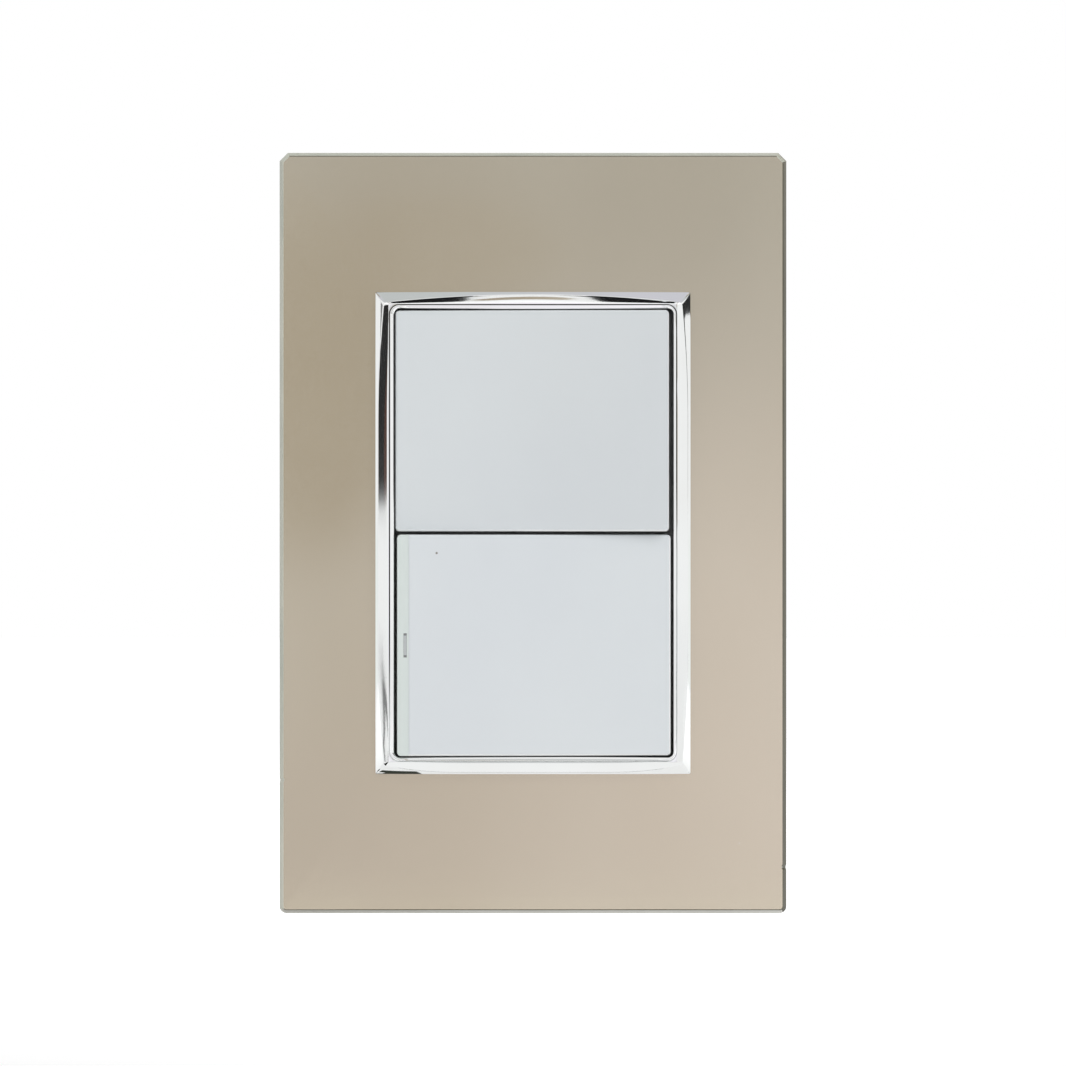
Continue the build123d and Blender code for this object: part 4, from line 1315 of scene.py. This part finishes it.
def add_cards(height):
    """The cards that the chrome and the glass mirror; the level ones lie at a height above the floor."""
    gradient = card_material(
        "Warm gradient", (0.85, 0.845, 0.86), (1.08, 1.055, 1.12), reach=0.105, patches=WARM_PATCHES
    )
    warm = card_material("Warm floor", (0.865, 0.84, 0.87), (1.11, 1.075, 1.14), reach=0.075)
    dark = card_material("Dark room", (0.012, 0.012, 0.013), (0.014, 0.014, 0.015))
    brown = card_material("Bronze room", (0.30, 0.24, 0.17), (0.62, 0.55, 0.45), reach=0.02)
    moss = card_material("Moss room", (0.05, 0.055, 0.045), (0.03, 0.032, 0.028), reach=0.05)
    lilac = card_material("Lilac ceiling", (0.60, 0.62, 0.62), (0.66, 0.65, 0.70), reach=0.1)
    wall = card_material("Dark wall", (0.028, 0.028, 0.029), (0.03, 0.03, 0.03), patches=WALL_PATCHES)
    post = card_material("Grey post", (0.20,) * 3, (0.26,) * 3, reach=0.5, towards=(0.0, 0.0, 1.0))
    pale = card_material("Pale wall", (0.94, 0.97, 0.95), (0.96, 0.98, 0.96), reach=1.0)
    cards = (
        ("Card behind the camera", upright_box(0.36, 0.52, -1.6), gradient),
        ("Warm floor in front", level_box((-0.18, -1.6), (0.18, -0.5), height), warm),
        ("Dark strip on the floor", level(STRIP, height), dark),
        ("Bronze patch on the floor", level_box((-0.0095, -0.30), (0.006, -0.24), height), brown),
        ("Dark floor below, left", level(TAPER, height), moss),
        ("Ceiling", level_box((-0.6, -0.5), (0.6, 0.2), 0.9), lilac),
        ("Dark wall, right", surround(RIGHT_WALL), wall),
        ("Grey post, left", surround(LEFT_POST), post),
        ("Dark wall, left", surround(LEFT_WALL), dark),
        ("Skirting, right", surround(SKIRTING), dark),
        ("Pale wall, right", surround(PALE_WALL, radius=1.4), pale),
        ("Pale wall, left", surround([(-column[0], *column[1:]) for column in PALE_WALL], radius=1.4), pale),
    )
    for name, rows, finish in cards:
        add_mirrored(name, rows, finish)


def add_lamp(name, place, size, watts):
    """A soft rectangular lamp that faces the object and isn't seen in mirrors."""
    data = bpy.data.lights.new(name, "AREA")
    data.shape = "RECTANGLE"
    data.size, data.size_y = size
    data.energy = watts
    lamp = bpy.data.objects.new(name, data)
    lamp.location = place
    lamp.rotation_euler = (-Vector(place)).to_track_quat("-Z", "Y").to_euler()
    bpy.context.scene.collection.objects.link(lamp)
    lamp.visible_glossy = False


def add_white_world(stage):
    """A world that is white to the camera and in mirrors, and dimmer on matt surfaces."""
    world = bpy.data.worlds.new("White surround")
    bpy.context.scene.world = world
    world.use_nodes = True
    tree = world.node_tree
    tree.nodes.clear()
    seen = mirror_or_camera(tree)
    brightness = node(tree, "MapRange", {"Value": seen, "To Min": stage.surround, "To Max": 1.0}).outputs[0]
    white = node(tree, "Background", {"Color": (1.0, 1.0, 1.0, 1.0), "Strength": brightness})
    tree.links.new(white.outputs[0], node(tree, "OutputWorld").inputs["Surface"])


class SWITCH_OT_stage(bpy.types.Operator):
    """Builds the floor, the white surround, the cards that the chrome mirrors and the lights"""

    bl_idname = "switch.stage"
    bl_label = "Stage"

    def execute(self, context):
        stage = settings("stage")
        bm = bmesh.new()
        bmesh.ops.create_grid(bm, x_segments=1, y_segments=1, size=4.0)
        floor_level = plate_low.z - stage.floor_drop
        floor = add_object("Floor", bm, [floor_material(stage)])
        floor.location = (0.0, 0.0, floor_level)
        add_white_world(stage)
        add_cards(floor_level + 1 * MM)
        add_lamp("Key light", (0.8, -1.0, 0.8), (0.8, 0.8), stage.key_watts)
        add_lamp("Fill light", (-0.9, -0.8, 0.4), (0.7, 0.9), stage.fill_watts)
        add_lamp("Rear light", (0.3, 1.1, 0.7), (0.9, 0.9), stage.fill_watts)
        context.scene.view_settings.view_transform = "Standard"
        return {"FINISHED"}


class SWITCH_PT_panel(bpy.types.Panel):
    """Lists the steps that build the switch's looks"""

    bl_idname = "SWITCH_PT_panel"
    bl_label = "Double light switch"
    bl_space_type = "VIEW_3D"
    bl_region_type = "UI"
    bl_category = "Light switch"

    def draw(self, context):
        for step in STEPS:
            self.layout.operator(step.bl_idname, text=step.bl_label)


STEPS = (
    SWITCH_OT_camera,
    SWITCH_OT_stage,
    SWITCH_OT_glass_panel,
    SWITCH_OT_chrome_bezel,
    SWITCH_OT_rockers,
    SWITCH_OT_mouldings,
    SWITCH_OT_contacts,
    SWITCH_OT_springs,
    SWITCH_OT_fasteners,
)
GROUPS = {
    "plate": PlateSettings,
    "bezel": BezelSettings,
    "rocker": RockerSettings,
    "finish": FinishSettings,
    "screw": ScrewSettings,
    "spring": SpringSettings,
    "stage": StageSettings,
}


def register():
    for name, group in GROUPS.items():
        bpy.utils.register_class(group)
        setattr(bpy.types.Scene, "switch_" + name, PointerProperty(type=group))
    for step in STEPS:
        bpy.utils.register_class(step)
    bpy.utils.register_class(SWITCH_PT_panel)


def unregister():
    bpy.utils.unregister_class(SWITCH_PT_panel)
    for step in reversed(STEPS):
        bpy.utils.unregister_class(step)
    for name, group in GROUPS.items():
        delattr(bpy.types.Scene, "switch_" + name)
        bpy.utils.unregister_class(group)


def main():
    register()
    bpy.ops.switch.camera()
    bpy.ops.switch.stage()
    bpy.ops.switch.glass_panel()
    bpy.ops.switch.chrome_bezel()
    bpy.ops.switch.rockers()
    bpy.ops.switch.mouldings()
    bpy.ops.switch.contacts()
    bpy.ops.switch.springs()
    bpy.ops.switch.fasteners()


if __name__ == "__main__":
    main()
